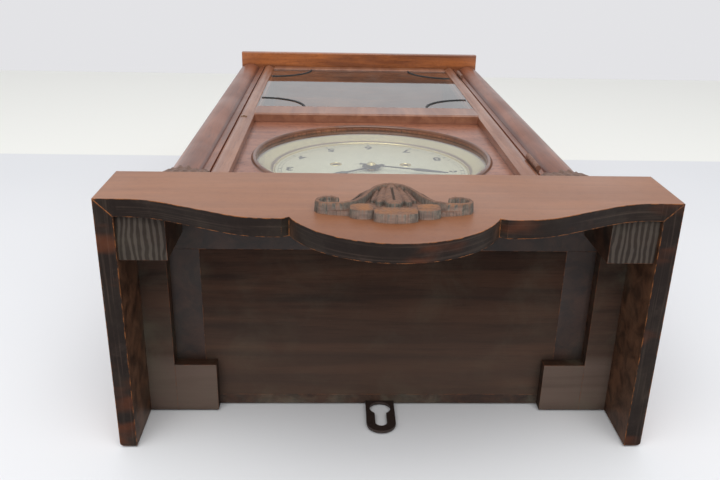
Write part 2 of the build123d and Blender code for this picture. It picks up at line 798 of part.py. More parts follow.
def toothed(count, module, share, addendum, dedendum, phase):
    """The outline of a toothed wheel, in the current sketch, with a tooth at the angle phase."""
    pitch = count * module / 2
    half = share * pi * module / 2
    profile = ((pitch - dedendum * module, half * 1.2), (pitch + addendum * module, half * 0.45))
    points = []
    for tooth in range(count):
        angle = radians(phase + 360 * tooth / count)
        for radius, lean in ((profile[0][0], -profile[0][1]), (profile[1][0], -profile[1][1]),
                             (profile[1][0], profile[1][1]), (profile[0][0], profile[0][1])):
            points.append((radius * cos(angle) - lean * sin(angle), radius * sin(angle) + lean * cos(angle)))
    Polygon(*points, align=None)


def wheel(depth, count, module, phase, x, z, rim):
    """A wheel with four crossings, added to the current part."""
    with BuildSketch(front(depth)) as outline:
        with Locations((x, z)):
            toothed(count, module, wheel_share, wheel_addendum, wheel_dedendum, phase)
            Circle(rim, mode=Mode.SUBTRACT)
            Circle(rim * 0.3)
            Rectangle(2 * rim + 1, 2.4)
            Rectangle(2.4, 2 * rim + 1)
    extrude(outline.sketch, amount=wheel_thickness)


def pinion(depth, length, count, module, phase, x, z):
    with BuildSketch(front(depth)) as outline:
        with Locations((x, z)):
            toothed(count, module, pinion_share, pinion_addendum, pinion_dedendum, phase)
    extrude(outline.sketch, amount=length)


def arbor(x, z):
    """A steel arbor between the plates, with its two pivots."""
    disc(back_plate + end_play, front_plate - back_plate - 2 * end_play, arbor_radius, x, z)
    disc(back_plate - plate_thickness, front_plate - back_plate + 2 * plate_thickness, pivot_radius, x, z)


def aim(x, z):
    """The angle of a direction, in degrees from +X towards +Z."""
    return degrees(atan2(z, x))


third_z = dial_z + third_rise
pinion_length = 4.5
to_barrel = aim(winding_half, -winding_drop)
to_third = aim(third_side, third_rise)
to_escape = aim(-third_side, escape_rise - third_rise)
winding_arbor_bore = winding_arbor_radius + running_fit
behind = back_plate - plate_thickness

with BuildPart() as movement_plates:
    for plate_back in (behind, front_plate):
        board(-plate_half, plate_half, plate_back, plate_back + plate_thickness,
              dial_z - plate_below, dial_z + plate_above)
        disc(plate_back, plate_thickness, pivot_radius + running_fit, third_side, third_z, mode=Mode.SUBTRACT)
        disc(plate_back, plate_thickness, pivot_radius + running_fit, 0, escape_z, mode=Mode.SUBTRACT)
        disc(plate_back, plate_thickness, pivot_radius + running_fit, 0, suspension_z, mode=Mode.SUBTRACT)
        for side in (1, -1):
            disc(plate_back, plate_thickness, winding_arbor_bore, side * winding_half, winding_z,
                 mode=Mode.SUBTRACT)
    disc(behind, plate_thickness, pivot_radius + running_fit, 0, dial_z, mode=Mode.SUBTRACT)
    disc(front_plate, plate_thickness, centre_arbor_radius + running_fit, 0, dial_z, mode=Mode.SUBTRACT)
    disc(behind, plate_thickness, arbor_radius + running_fit, -hammer_side, dial_z - hammer_drop,
         mode=Mode.SUBTRACT)
    fillet(movement_plates.edges().filter_by(Axis.Y).filter_by(GeomType.LINE), radius=4)
save(movement_plates, "movement_plates")

dial_foot_side = 58.0
dial_foot_rise = 50.0
dial_foot_drop = 45.0
dial_foot_radius = 2.2
post_end = 116.0
front_face = front_plate + plate_thickness
with BuildPart() as pillars:
    for side in (1, -1):
        for rise in (pillar_low, pillar_high):
            disc(back_plate, front_plate - back_plate, pillar_radius, side * pillar_side, dial_z + rise)
        for rise in (dial_foot_rise, -dial_foot_drop):
            disc(front_face, dial_front - dial_thickness - front_face, dial_foot_radius,
                 side * dial_foot_side, dial_z + rise)
    disc(front_face, post_end - front_face, post_radius, 0, dial_z - motion_distance)
save(pillars, "pillars")

with BuildPart() as seat_rails:
    for side in (1, -1):
        board(*side_span(side, seat_rail_side - seat_rail_width / 2, seat_rail_side + seat_rail_width / 2),
              back_board, front_face, dial_z - plate_below - seat_rail_height, dial_z - plate_below)
save(seat_rails, "seat_rails")

# Motion work in front of the plates
hour_pipe_end = hour_hand_depth + hand_thickness
with BuildPart() as cannon_pinion:
    pinion(cannon_depth, pinion_length, cannon_teeth, cannon_module, -90 + 180 / cannon_teeth, 0, dial_z)
    disc(cannon_depth, minute_hand_depth + 1.4 - cannon_depth, cannon_pipe, 0, dial_z)
    disc(cannon_depth, 30, cannon_bore, 0, dial_z, mode=Mode.SUBTRACT)
save(cannon_pinion, "cannon_pinion")

minute_wheel_depth = cannon_depth + 1.2
with BuildPart() as minute_wheel:
    wheel(minute_wheel_depth, minute_wheel_teeth, cannon_module, 90, 0, dial_z - motion_distance, 11)
    pinion(minute_wheel_depth + wheel_thickness, hour_wheel_depth + wheel_thickness + 0.6
           - minute_wheel_depth - wheel_thickness, minute_pinion_leaves, hour_module,
           90 + 180 / minute_pinion_leaves, 0, dial_z - motion_distance)
    disc(minute_wheel_depth, 12, post_radius + running_fit, 0, dial_z - motion_distance, mode=Mode.SUBTRACT)
save(minute_wheel, "minute_wheel")

with BuildPart() as hour_wheel:
    wheel(hour_wheel_depth, hour_wheel_teeth, hour_module, -90, 0, dial_z, 11.5)
    disc(hour_wheel_depth, hour_pipe_end - hour_wheel_depth, hour_pipe, 0, dial_z)
    disc(hour_wheel_depth, 20, hour_bore, 0, dial_z, mode=Mode.SUBTRACT)
save(hour_wheel, "hour_wheel")

# Going train between the plates
with BuildPart() as centre_wheel:
    arbor(0, dial_z)
    disc(front_plate - end_play, minute_hand_depth + 2.4 - front_plate + end_play, centre_arbor_radius, 0, dial_z)
    wheel(centre_depth, centre_teeth, centre_module, to_third, 0, dial_z, 22)
    pinion(great_depth - 1, pinion_length, pinion_leaves, great_module,
           to_barrel + 180 / pinion_leaves, 0, dial_z)
save(centre_wheel, "centre_wheel")

with BuildPart() as third_wheel:
    arbor(third_side, third_z)
    wheel(third_depth, third_teeth, third_module, to_escape, third_side, third_z, 17.5)
    pinion(centre_depth - 1.2, pinion_length, pinion_leaves, centre_module,
           to_third + 180 + 180 / pinion_leaves, third_side, third_z)
save(third_wheel, "third_wheel")

with BuildPart() as escape_wheel:
    arbor(0, escape_z)
    with BuildSketch(front(escape_depth)):
        with Locations((0, escape_z)):
            toothed(escape_teeth, 2 * escape_radius / escape_teeth, 0.3, 0, 3, 0)
            Circle(escape_radius - 4.5, mode=Mode.SUBTRACT)
            Circle(4)
            Rectangle(2 * escape_radius - 7, 2)
            Rectangle(2, 2 * escape_radius - 7)
    extrude(amount=wheel_thickness)
    pinion(third_depth - 1.2, pinion_length, pinion_leaves, third_module,
           to_escape + 180 + 180 / pinion_leaves, 0, escape_z)
save(escape_wheel, "escape_wheel")

drum_depth = great_depth + wheel_thickness
for side, name, count in ((1, "going_barrel", great_teeth), (-1, "strike_barrel", strike_great_teeth)):
    with BuildPart() as barrel:
        with BuildSketch(front(great_depth)):
            with Locations((side * winding_half, winding_z)):
                toothed(count, great_module, wheel_share, wheel_addendum, wheel_dedendum, to_barrel + 180)
        extrude(amount=wheel_thickness)
        disc(drum_depth, drum_length, drum_radius, side * winding_half, winding_z)
        disc(great_depth, wheel_thickness + drum_length, winding_arbor_bore, side * winding_half, winding_z,
             mode=Mode.SUBTRACT)
    save(barrel, name)

square_end = dial_front - dial_thickness - 2
for side, name in ((1, "going_arbor"), (-1, "strike_arbor")):
    with BuildPart() as winding_arbor:
        disc(behind, front_face + 1.5 - behind, winding_arbor_radius, side * winding_half, winding_z)
        with BuildSketch(front(front_face + 1.5)):
            with Locations((side * winding_half, winding_z)):
                Rectangle(winding_square - 0.5, winding_square - 0.5)
        extrude(amount=square_end - front_face - 1.5)
        disc(back_plate + end_play, 3, winding_arbor_radius + 2, side * winding_half, winding_z)
        disc(front_plate - end_play - 3, 3, winding_arbor_radius + 2, side * winding_half, winding_z)
    save(winding_arbor, name)

# Pallets on their arbor, with the crutch and its fork behind the back plate
pad_reach = escape_radius + pad_clearance + 1
pad_x = pad_reach / sqrt(2)
pad_z = escape_z + pad_reach / sqrt(2)
crutch_depth = pendulum_depth + 7.4
crutch_length = 24.0
prong = rod_width / 2 + 0.3
with BuildPart() as pallets:
    arbor(0, suspension_z)
    disc(crutch_depth, behind - crutch_depth, pivot_radius, 0, suspension_z)
    with BuildSketch(front(escape_depth)):
        with Locations((0, suspension_z)):
            Circle(3)
        for side in (1, -1):
            arm = sqrt(pad_x**2 + (suspension_z - pad_z) ** 2)
            tilt = side * aim(pad_x, pad_z - suspension_z)
            with Locations(Location((side * pad_x / 2, (pad_z + suspension_z) / 2, 0), (0, 0, tilt))):
                Rectangle(arm, 1.8)
            with Locations(Location((side * pad_x, pad_z, 0), (0, 0, side * 45))):
                Rectangle(2, 2.6)
    extrude(amount=wheel_thickness)
    disc(crutch_depth, 1.4, 3, 0, suspension_z)
    board(-1.5, 1.5, crutch_depth, crutch_depth + 1.4, suspension_z - crutch_length, suspension_z)
    board(-prong - 2, prong + 2, crutch_depth, crutch_depth + 1.4,
          suspension_z - crutch_length, suspension_z - crutch_length + 4)
    for side in (1, -1):
        board(*side_span(side, prong, prong + 2), pendulum_depth - 4, crutch_depth + 1.4,
              suspension_z - crutch_length, suspension_z - crutch_length + 4)
save(pallets, "pallets")

# Suspension cock on the back plate, and the pendulum that hangs from it
with BuildPart() as suspension_cock:
    board(-8, 8, pendulum_depth - 5, behind, suspension_z + 4, suspension_z + 12)
    board(-5, 5, pendulum_depth - 4, pendulum_depth + 4, suspension_z, suspension_z + 4)
    board(-0.5, 0.5, pendulum_depth - 4, pendulum_depth + 4, suspension_z, suspension_z + 2.6,
          mode=Mode.SUBTRACT)
save(suspension_cock, "suspension_cock")

with BuildPart() as suspension_spring:
    board(-spring_thickness / 2, spring_thickness / 2, pendulum_depth - spring_width / 2,
          pendulum_depth + spring_width / 2, suspension_z - 12, suspension_z + 2)
    board(-4, 4, pendulum_depth - 2.8, pendulum_depth + 2.8, suspension_z - 16, suspension_z - 12)
save(suspension_spring, "suspension_spring")

rod_low = bob_z - bob_radius - 3
nut_top = rod_low - 1
rod_back = pendulum_depth - rod_thickness / 2
rod_front = pendulum_depth + rod_thickness / 2
with BuildPart() as pendulum_rod:
    board(-rod_width / 2, rod_width / 2, rod_back, rod_front, rod_low, suspension_z - 16)
    with BuildSketch(level(rod_low - 16)):
        with Locations((0, -pendulum_depth)):
            Circle(1.5)
    extrude(amount=16)
save(pendulum_rod, "pendulum_rod")

bob_profile = ((0.5, 0), (0.5, 0.3), (0.34, 0.72), (0.07, 1), (-0.07, 1), (-0.34, 0.72), (-0.5, 0.3), (-0.5, 0))
with BuildPart() as pendulum_bob:
    with BuildSketch(Plane.YZ):
        Polygon(*[(-pendulum_depth + bob_thickness * along, bob_z + bob_radius * out)
                  for along, out in bob_profile], align=None)
    revolve(axis=Axis((0, 0, bob_z), (0, 1, 0)))
    board(-rod_width / 2, rod_width / 2, rod_back, rod_front, bob_z - bob_radius - 1, bob_z + bob_radius + 1,
          mode=Mode.SUBTRACT)
save(pendulum_bob, "pendulum_bob")

with BuildPart() as rating_nut:
    with BuildSketch(level(nut_top - nut_height)):
        with Locations((0, -pendulum_depth)):
            Circle(nut_radius)
            Circle(1.5 + running_fit, mode=Mode.SUBTRACT)
    extrude(amount=nut_height)
save(rating_nut, "rating_nut")

# Hammers on one arbor, and the rod gong they strike
hammer_z = dial_z - hammer_drop
head_z = hammer_z - hammer_length
head_end = gong_side - gong_rod_radius - strike_gap
with BuildPart() as hammers:
    disc(gong_rod_depths[0] - 2, back_plate - gong_rod_depths[0] + 2, arbor_radius, -hammer_side, hammer_z)
    for depth in gong_rod_depths:
        board(-hammer_side - 1.5, -hammer_side + 1.5, depth - 1.2, depth + 1.2, head_z, hammer_z)
        with BuildSketch(Plane.YZ.offset(-head_end)):
            with Locations((-depth, head_z)):
                Circle(hammer_head_radius)
        extrude(amount=head_end - hammer_side + 2)
save(hammers, "hammers")

block_top = dial_z - gong_block_drop
block_low = block_top - gong_block_height
with BuildPart() as gong_block:
    board(-gong_side - 10, -gong_side + 10, back_board, gong_rod_depths[-1] + 8, block_low, block_top)
save(gong_block, "gong_block")

with BuildPart() as gong_rods:
    for depth in gong_rod_depths:
        with BuildSketch(level(block_low - gong_rod_length)):
            with Locations((-gong_side, -depth)):
                Circle(gong_rod_radius)
        extrude(amount=gong_rod_length)
save(gong_rods, "gong_rods")
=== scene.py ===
import json
import logging
import math
from dataclasses import dataclass
from enum import Enum
from typing import Optional, Union

import bpy
import numpy as np
from mathutils import Matrix, Vector


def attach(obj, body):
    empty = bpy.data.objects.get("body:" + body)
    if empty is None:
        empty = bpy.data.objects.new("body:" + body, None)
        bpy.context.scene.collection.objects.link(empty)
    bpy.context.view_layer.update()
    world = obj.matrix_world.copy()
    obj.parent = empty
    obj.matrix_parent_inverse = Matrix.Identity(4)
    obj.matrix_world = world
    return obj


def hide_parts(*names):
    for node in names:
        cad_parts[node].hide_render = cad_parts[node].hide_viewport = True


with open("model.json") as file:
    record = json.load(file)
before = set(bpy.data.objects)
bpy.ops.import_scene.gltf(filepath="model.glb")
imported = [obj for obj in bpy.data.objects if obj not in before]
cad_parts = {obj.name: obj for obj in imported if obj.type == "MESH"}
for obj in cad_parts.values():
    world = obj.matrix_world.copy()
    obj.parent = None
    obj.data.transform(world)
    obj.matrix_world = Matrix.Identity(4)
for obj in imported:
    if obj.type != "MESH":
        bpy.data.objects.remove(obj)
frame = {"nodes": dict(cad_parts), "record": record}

Socket = bpy.types.NodeSocket
Colour = tuple[float, float, float, float]
Number = Union[Socket, float]
Shade = Union[Socket, Colour]
Profile = tuple[tuple[float, float], ...]

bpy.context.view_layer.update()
MM = 0.001
# The dial's middle in the part's frame, in metres.
DIAL_CENTRE = Vector((0.0, -0.122, -0.2554))
# The height that the crest's outline is measured from, in metres.
CORNER_HEIGHT = 0.0256
# How far the fascia's front stands from the wall, in metres.
FASCIA_FRONT = 0.186


class Grain(Enum):
    """The direction in which a board's fibres run."""

    ALONG_X = 0
    ALONG_Z = 2


def tint(red: float, green: float, blue: float) -> Colour:
    """Turns a display colour into the linear one that shaders take.

    Args:
        red, green, blue: Display values from 0 to 255.
    Returns:
        The linear colour with full opacity.
    """
    linear = [c / 12.92 if c <= 0.04045 else ((c + 0.055) / 1.055) ** 2.4
              for c in (red / 255, green / 255, blue / 255)]
    return (*linear, 1.0)


class Paint:
    """Builds the node tree of one material, a call for each node."""

    rays = 6

    def __init__(self, name: str) -> None:
        """Starts an empty tree with the object coordinates and the surface's geometry.

        Args:
            name: The material's name.
        """
        self.material = bpy.data.materials.new(name)
        self.material.use_nodes = True
        self.tree = self.material.node_tree
        self.tree.nodes.clear()
        self.place = self.node("ShaderNodeTexCoord").outputs["Object"]
        self.geometry = self.node("ShaderNodeNewGeometry")

    def node(self, kind: str, **settings: Union[str, int, bool]) -> bpy.types.Node:
        """Adds a node.

        Args:
            kind: Its type.
            settings: Its properties by name.
        Returns:
            The node.
        """
        made = self.tree.nodes.new(kind)
        for key, value in settings.items():
            setattr(made, key, value)
        return made

    def feed(self, socket: Socket, value: Union[Number, Shade]) -> None:
        """Links an input to an output, or sets its constant.

        Args:
            socket: The input.
            value: The output or the constant that it gets.
        """
        if isinstance(value, Socket):
            self.tree.links.new(value, socket)
        else:
            socket.default_value = value

    def scaled(self, x: float, y: float, z: float) -> Socket:
        """Stretches the object coordinates.

        Args:
            x, y, z: The scale on each axis.
        Returns:
            The scaled coordinates.
        """
        made = self.node("ShaderNodeMapping")
        self.feed(made.inputs["Vector"], self.place)
        made.inputs["Scale"].default_value = (x, y, z)
        return made.outputs["Vector"]

    def noise(self, vector: Socket, scale: float, detail: float, rough: float,
              bend: float = 0.0) -> Socket:
        """Fractal noise from 0 to 1.

        Args:
            vector: The coordinates that it is laid over.
            scale: How fine it is.
            detail, rough: How many finer layers it has, and how strong they are.
            bend: How far it is distorted.
        Returns:
            Its value.
        """
        made = self.node("ShaderNodeTexNoise")
        self.feed(made.inputs["Vector"], vector)
        made.inputs["Scale"].default_value = scale
        made.inputs["Detail"].default_value = detail
        made.inputs["Roughness"].default_value = rough
        made.inputs["Distortion"].default_value = bend
        return made.outputs["Fac"]

    def math(self, operation: str, first: Number, second: Number = 0.0) -> Socket:
        """One arithmetic step.

        Args:
            operation: Its name.
            first, second: What it works on.
        Returns:
            The result.
        """
        made = self.node("ShaderNodeMath", operation=operation)
        self.feed(made.inputs[0], first)
        self.feed(made.inputs[1], second)
        return made.outputs["Value"]

    def smooth(self, value: Number, low: float, high: float, to_low: Number = 0.0,
               to_high: Number = 1.0) -> Socket:
        """An S-shaped step.

        Args:
            value: What is stepped.
            low, high: The values between which the step lies.
            to_low, to_high: The results at those two values.
        Returns:
            The stepped value.
        """
        made = self.node("ShaderNodeMapRange", interpolation_type="SMOOTHSTEP")
        for key, given in (("Value", value), ("From Min", low), ("From Max", high),
                           ("To Min", to_low), ("To Max", to_high)):
            self.feed(made.inputs[key], given)
        return made.outputs["Result"]

    def mix(self, share: Number, first: Shade, second: Shade, blend: str = "MIX") -> Socket:
        """Blends two colours, which are sockets 6 and 7 of the node.

        Args:
            share: How much of the second colour there is.
            first, second: The colours.
            blend: The way of blending.
        Returns:
            The blended colour, socket 2 of the node.
        """
        made = self.node("ShaderNodeMix", data_type="RGBA", blend_type=blend, clamp_result=True)
        self.feed(made.inputs[0], share)
        self.feed(made.inputs[6], first)
        self.feed(made.inputs[7], second)
        return made.outputs[2]

    def axis(self, vector: Socket, name: str) -> Socket:
        """Takes one coordinate of a vector.

        Args:
            vector: The vector.
            name: The coordinate's letter.
        Returns:
            Its value.
        """
        made = self.node("ShaderNodeSeparateXYZ")
        self.feed(made.inputs[0], vector)
        return made.outputs[name]

    def rounded(self, radius: float) -> Socket:
        """The surface normal, as if the edges were rounded.

        Args:
            radius: The rounding in metres.
        Returns:
            The normal.
        """
        made = self.node("ShaderNodeBevel", samples=self.rays)
        made.inputs["Radius"].default_value = radius
        return made.outputs["Normal"]

    def edges(self, radius: float, low: float = 0.02, high: float = 0.2) -> Socket:
        """A mask of the sharp edges, from how far the rounded normal turns from the true one.

        Args:
            radius: The width of an edge in metres.
            low, high: The turns at which the mask starts and is full.
        Returns:
            The mask.
        """
        made = self.node("ShaderNodeVectorMath", operation="DOT_PRODUCT")
        self.feed(made.inputs[0], self.rounded(radius))
        self.feed(made.inputs[1], self.geometry.outputs["Normal"])
        return self.smooth(self.math("SUBTRACT", 1.0, made.outputs["Value"]), low, high)

    def hollows(self, distance: float, low: float, high: float) -> Socket:
        """A mask of nooks and corners.

        Args:
            distance: How near their walls are, in metres.
            low, high: The openness at which the mask is full and at which it ends.
        Returns:
            The mask.
        """
        made = self.node("ShaderNodeAmbientOcclusion", samples=self.rays)
        made.inputs["Distance"].default_value = distance
        return self.smooth(made.outputs["AO"], low, high, 1.0, 0.0)

    def bump(self, height: Socket, strength: float, distance: float,
             normal: Optional[Socket] = None) -> Socket:
        """Tilts the normal as a relief would.

        Args:
            height: The relief.
            strength: The share of the tilt that is used.
            distance: The depth in metres of a height of one.
            normal: The normal that is tilted, if it isn't the surface's own.
        Returns:
            The tilted normal.
        """
        made = self.node("ShaderNodeBump")
        made.inputs["Strength"].default_value = strength
        made.inputs["Distance"].default_value = distance
        self.feed(made.inputs["Height"], height)
        if normal is not None:
            self.feed(made.inputs["Normal"], normal)
        return made.outputs["Normal"]

    def close(self, shader: Socket) -> bpy.types.Material:
        """Ends the tree with a shader.

        Args:
            shader: The shader.
        Returns:
            The finished material.
        """
        out = self.node("ShaderNodeOutputMaterial")
        self.tree.links.new(shader, out.inputs["Surface"])
        return self.material

    def finish(self, colour: Shade, rough: Number, normal: Socket, metal: float = 0.0,
               coat: Number = 0.0, coat_rough: float = 0.1, specular: Number = 0.5) -> bpy.types.Material:
        """Ends the tree with a physically based surface.

        Args:
            colour, rough, normal, coat, specular: What the surface gets.
            metal, coat_rough: Constants of the surface.
        Returns:
            The finished material.
        """
        made = self.node("ShaderNodeBsdfPrincipled")
        self.feed(made.inputs["Base Color"], colour)
        self.feed(made.inputs["Roughness"], rough)
        made.inputs["Metallic"].default_value = metal
        self.feed(made.inputs["Coat Weight"], coat)
        made.inputs["Coat Roughness"].default_value = coat_rough
        self.feed(made.inputs["Specular IOR Level"], specular)
        self.feed(made.inputs["Normal"], normal)
        self.feed(made.inputs["Coat Normal"], normal)
        return self.close(made.outputs["BSDF"])


@dataclass(frozen=True)
class Wood:
    """A finished timber: stain, grain, gloss, worn arrises, settled dust and painted shade in hollows.

    wear, dust, figure and burl are strengths from 0 up, as is the one of the painted shade in hollows.
    worn and settled are the colours of rubbed arrises and of dust. nook is the colour painted into
    hollows as shade; on the pilasters and the door it is lighter than the wood and paints light into
    the shade of their gaps. arris is the rounding of an edge, and line the distance from the clock's
    middle of a painted dark line of shade along a gap, nought for none, both in metres.
    """

    name: str
    light: Colour
    dark: Colour
    grain: Grain = Grain.ALONG_X
    rough: float = 0.42
    coat: float = 0.25
    coat_rough: float = 0.22
    wear: float = 0.6
    worn: Colour = tint(196, 120, 62)
    dust: float = 0.0
    settled: Colour = tint(128, 124, 106)
    grime: float = 0.5
    arris: float = 0.0009
    figure: float = 1.0
    nook: Colour = tint(26, 18, 13)
    burl: float = 0.0
    line: float = 0.0

    def streaks(self, paint: Paint) -> tuple[Socket, Socket]:
        """The grain, as noise stretched along the fibres.

        Args:
            paint: The material's tree.
        Returns:
            The broad streaks and the fine pores.
        """
        broad, fine = [70.0] * 3, [1500.0] * 3
        broad[self.grain.value], fine[self.grain.value] = 5.0, 45.0
        return (paint.noise(paint.scaled(*broad), 1.0, 5, 0.6, 0.6),
                paint.noise(paint.scaled(*fine), 1.0, 2, 0.5, 0.1))

    def build(self) -> bpy.types.Material:
        """Builds the material.

        Returns:
            The material.
        """
        paint = Paint(self.name)
        broad, fine = self.streaks(paint)
        clouds = paint.noise(paint.place, 14.0, 3, 0.5)
        colour = paint.mix(paint.smooth(broad, 0.28, 0.72), self.dark, self.light)
        pores = paint.math("MULTIPLY", paint.smooth(fine, 0.42, 0.30), 0.45 * self.figure)
        colour = paint.mix(pores, colour, self.dark, "MULTIPLY")
        colour = paint.mix(paint.smooth(clouds, 0.35, 0.75, 0.0, 0.35 * self.figure), colour, self.dark)
        colour = self.front_and_back(paint, colour, broad)
        patchy = paint.noise(paint.place, 160.0, 3, 0.6)
        if self.burl > 0:
            knots = paint.smooth(paint.noise(paint.place, 210.0, 4, 0.7, 0.8), 0.48, 0.68)
            colour = paint.mix(paint.math("MULTIPLY", knots, self.burl), colour, self.dark, "MULTIPLY")
        # Painted shade: hollows are mixed towards the nook colour, a dark tone. Where nook is lighter than
        # the wood, as on the pilasters and the door, this paints light into their shade.
        nooks = paint.hollows(0.010, 0.25, 0.85)
        colour = paint.mix(paint.math("MULTIPLY", nooks, self.grime), colour, self.nook)
        # Painted shade: a soft dark reddish line at that distance from the middle, standing for the shade in
        # the gap beside it.
        if self.line > 0:
            aside = paint.math("ABSOLUTE", paint.axis(paint.place, "X"))
            near = paint.math("ABSOLUTE", paint.math("SUBTRACT", aside, self.line))
            colour = paint.mix(paint.smooth(near, 0.0004, 0.0026, 0.8, 0.0), colour, tint(84, 44, 32))
        worn = paint.math("MULTIPLY", paint.edges(self.arris), paint.smooth(patchy, 0.40, 0.62))
        colour = paint.mix(paint.math("MULTIPLY", worn, self.wear), colour, self.worn)
        rough = paint.smooth(clouds, 0.2, 0.8, self.rough - 0.08, self.rough + 0.1)
        if self.dust > 0:
            layer = self.dust_layer(paint)
            colour = paint.mix(layer, colour, self.settled)
            rough = paint.math("MAXIMUM", rough, paint.math("MULTIPLY", layer, 0.9))
        height = paint.math("ADD", paint.math("MULTIPLY", fine, 0.5), broad)
        normal = paint.bump(height, 0.25, 0.0002, paint.rounded(self.arris * 0.8))
        coat, specular = self.polish(paint)
        return paint.finish(colour, rough, normal, coat=coat, coat_rough=self.coat_rough, specular=specular)

    def polish(self, paint: Paint) -> tuple[Number, Number]:
        """The share of clear coat, and the level of the wood's own shine. Returns: both."""
        return self.coat, 0.5

    def front_and_back(self, paint: Paint, colour: Socket, broad: Socket) -> Socket:
        """The colour of faces that differ from the show face. Returns: the colour."""
        return colour

    def dust_layer(self, paint: Paint) -> Socket:
        """Dust in nooks, in soft clouds and as sparse specks.

        Args:
            paint: The material's tree.
        Returns:
            Its cover from 0 to 1.
        """
        nook = paint.hollows(0.030, 0.15, 0.95)
        cloud = paint.smooth(paint.noise(paint.place, 24.0, 6, 0.65, 0.4), 0.42, 0.78)
        speck = paint.smooth(paint.noise(paint.place, 900.0, 2, 0.5), 0.70, 0.78)
        cover = paint.math("ADD", paint.math("MULTIPLY", nook, cloud), paint.math("MULTIPLY", cloud, 0.3))
        cover = paint.math("ADD", cover, paint.math("MULTIPLY", speck, 0.35))
        return paint.math("MULTIPLY", cover, self.dust)


@dataclass(frozen=True)
class CrownWood(Wood):
    """The crown boards: a light show face, and blackened edges and backs."""

    edge: Colour = tint(31, 22, 18)
    back: Colour = tint(98, 68, 50)

    def upward(self, paint: Paint) -> Socket:
        """A mask of the faces that look up. Returns: its value."""
        return paint.smooth(paint.axis(paint.geometry.outputs["Normal"], "Z"), 0.3, 0.6)

    def shown(self, paint: Paint) -> Socket:
        """A mask of the polished show faces.

        Args:
            paint: The material's tree.
        Returns:
            The mask.
        """
        ahead = paint.smooth(paint.axis(paint.geometry.outputs["Normal"], "Y"), -0.5, -0.8)
        aside = paint.smooth(paint.math("ABSOLUTE", paint.axis(paint.place, "X")), 0.1871, 0.1873)
        level = paint.math("SUBTRACT", 1.0, self.upward(paint))
        return paint.math("MULTIPLY", paint.math("MAXIMUM", ahead, aside), level)

    def front_and_back(self, paint: Paint, colour: Socket, broad: Socket) -> Socket:
        """Shows the stain only on outward faces.

        Args:
            paint: The material's tree.
            colour: The stain so far.
            broad: The broad streaks of the grain.
        Returns:
            The colour.
        """
        high = paint.smooth(paint.axis(paint.place, "Z"), 0.030, 0.090, 0.0, 0.65)
        colour = paint.mix(high, colour, tint(116, 64, 28))
        rubbed = paint.smooth(paint.noise(paint.place, 45.0, 5, 0.7), 0.50, 0.80)
        edge = paint.mix(paint.math("MULTIPLY", rubbed, 0.35), self.edge, tint(86, 70, 62))
        side = paint.smooth(paint.math("ABSOLUTE", paint.axis(paint.place, "X")), 0.1725, 0.1735)
        along = paint.noise(paint.scaled(14, 800, 14), 1.0, 4, 0.6)
        across = paint.noise(paint.scaled(800, 14, 14), 1.0, 4, 0.6)
        layers = paint.smooth(paint.smooth(side, 0.0, 1.0, along, across), 0.50, 0.72)
        edge = paint.mix(paint.math("MULTIPLY", layers, 0.28), edge, tint(92, 76, 66))
        glow = paint.smooth(paint.noise(paint.scaled(16, 40, 16), 1.0, 3, 0.5), 0.55, 0.72)
        edge = paint.mix(paint.math("MULTIPLY", glow, 0.5), edge, tint(104, 54, 28))
        inside = paint.mix(paint.smooth(broad, 0.3, 0.7), tint(50, 33, 24), self.back)
        return paint.mix(self.shown(paint), paint.mix(self.upward(paint), inside, edge), colour)

    def polish(self, paint: Paint) -> tuple[Number, Number]:
        """Only the show faces are polished. Returns: the coat's share and the shine's level."""
        shown = self.shown(paint)
        return paint.math("MULTIPLY", shown, self.coat), paint.smooth(shown, 0.0, 1.0, 0.14, 0.5)

    def dust_layer(self, paint: Paint) -> Socket:
        """Dust lies on the faces that nobody polishes. Returns: its cover."""
        kept = paint.smooth(self.shown(paint), 0.0, 1.0, 1.0, 0.15)
        return paint.math("MULTIPLY", super().dust_layer(paint), kept)


@dataclass(frozen=True)
class CaseWood(Wood):
    """The case boards: dark inside, and stained like the pilasters outside."""

    outside: Colour = tint(124, 74, 50)

    def front_and_back(self, paint: Paint, colour: Socket, broad: Socket) -> Socket:
        """Stains the faces that look away from the case's middle.

        Args:
            paint: The material's tree.
            colour: The stain so far.
            broad: The broad streaks of the grain.
        Returns:
            The colour.
        """
        way = paint.math("SIGN", paint.axis(paint.place, "X"))
        away = paint.math("MULTIPLY", paint.axis(paint.geometry.outputs["Normal"], "X"), way)
        stain = paint.mix(paint.smooth(broad, 0.28, 0.72), tint(92, 52, 35), self.outside)
        return paint.mix(paint.smooth(away, 0.5, 0.8), colour, stain)


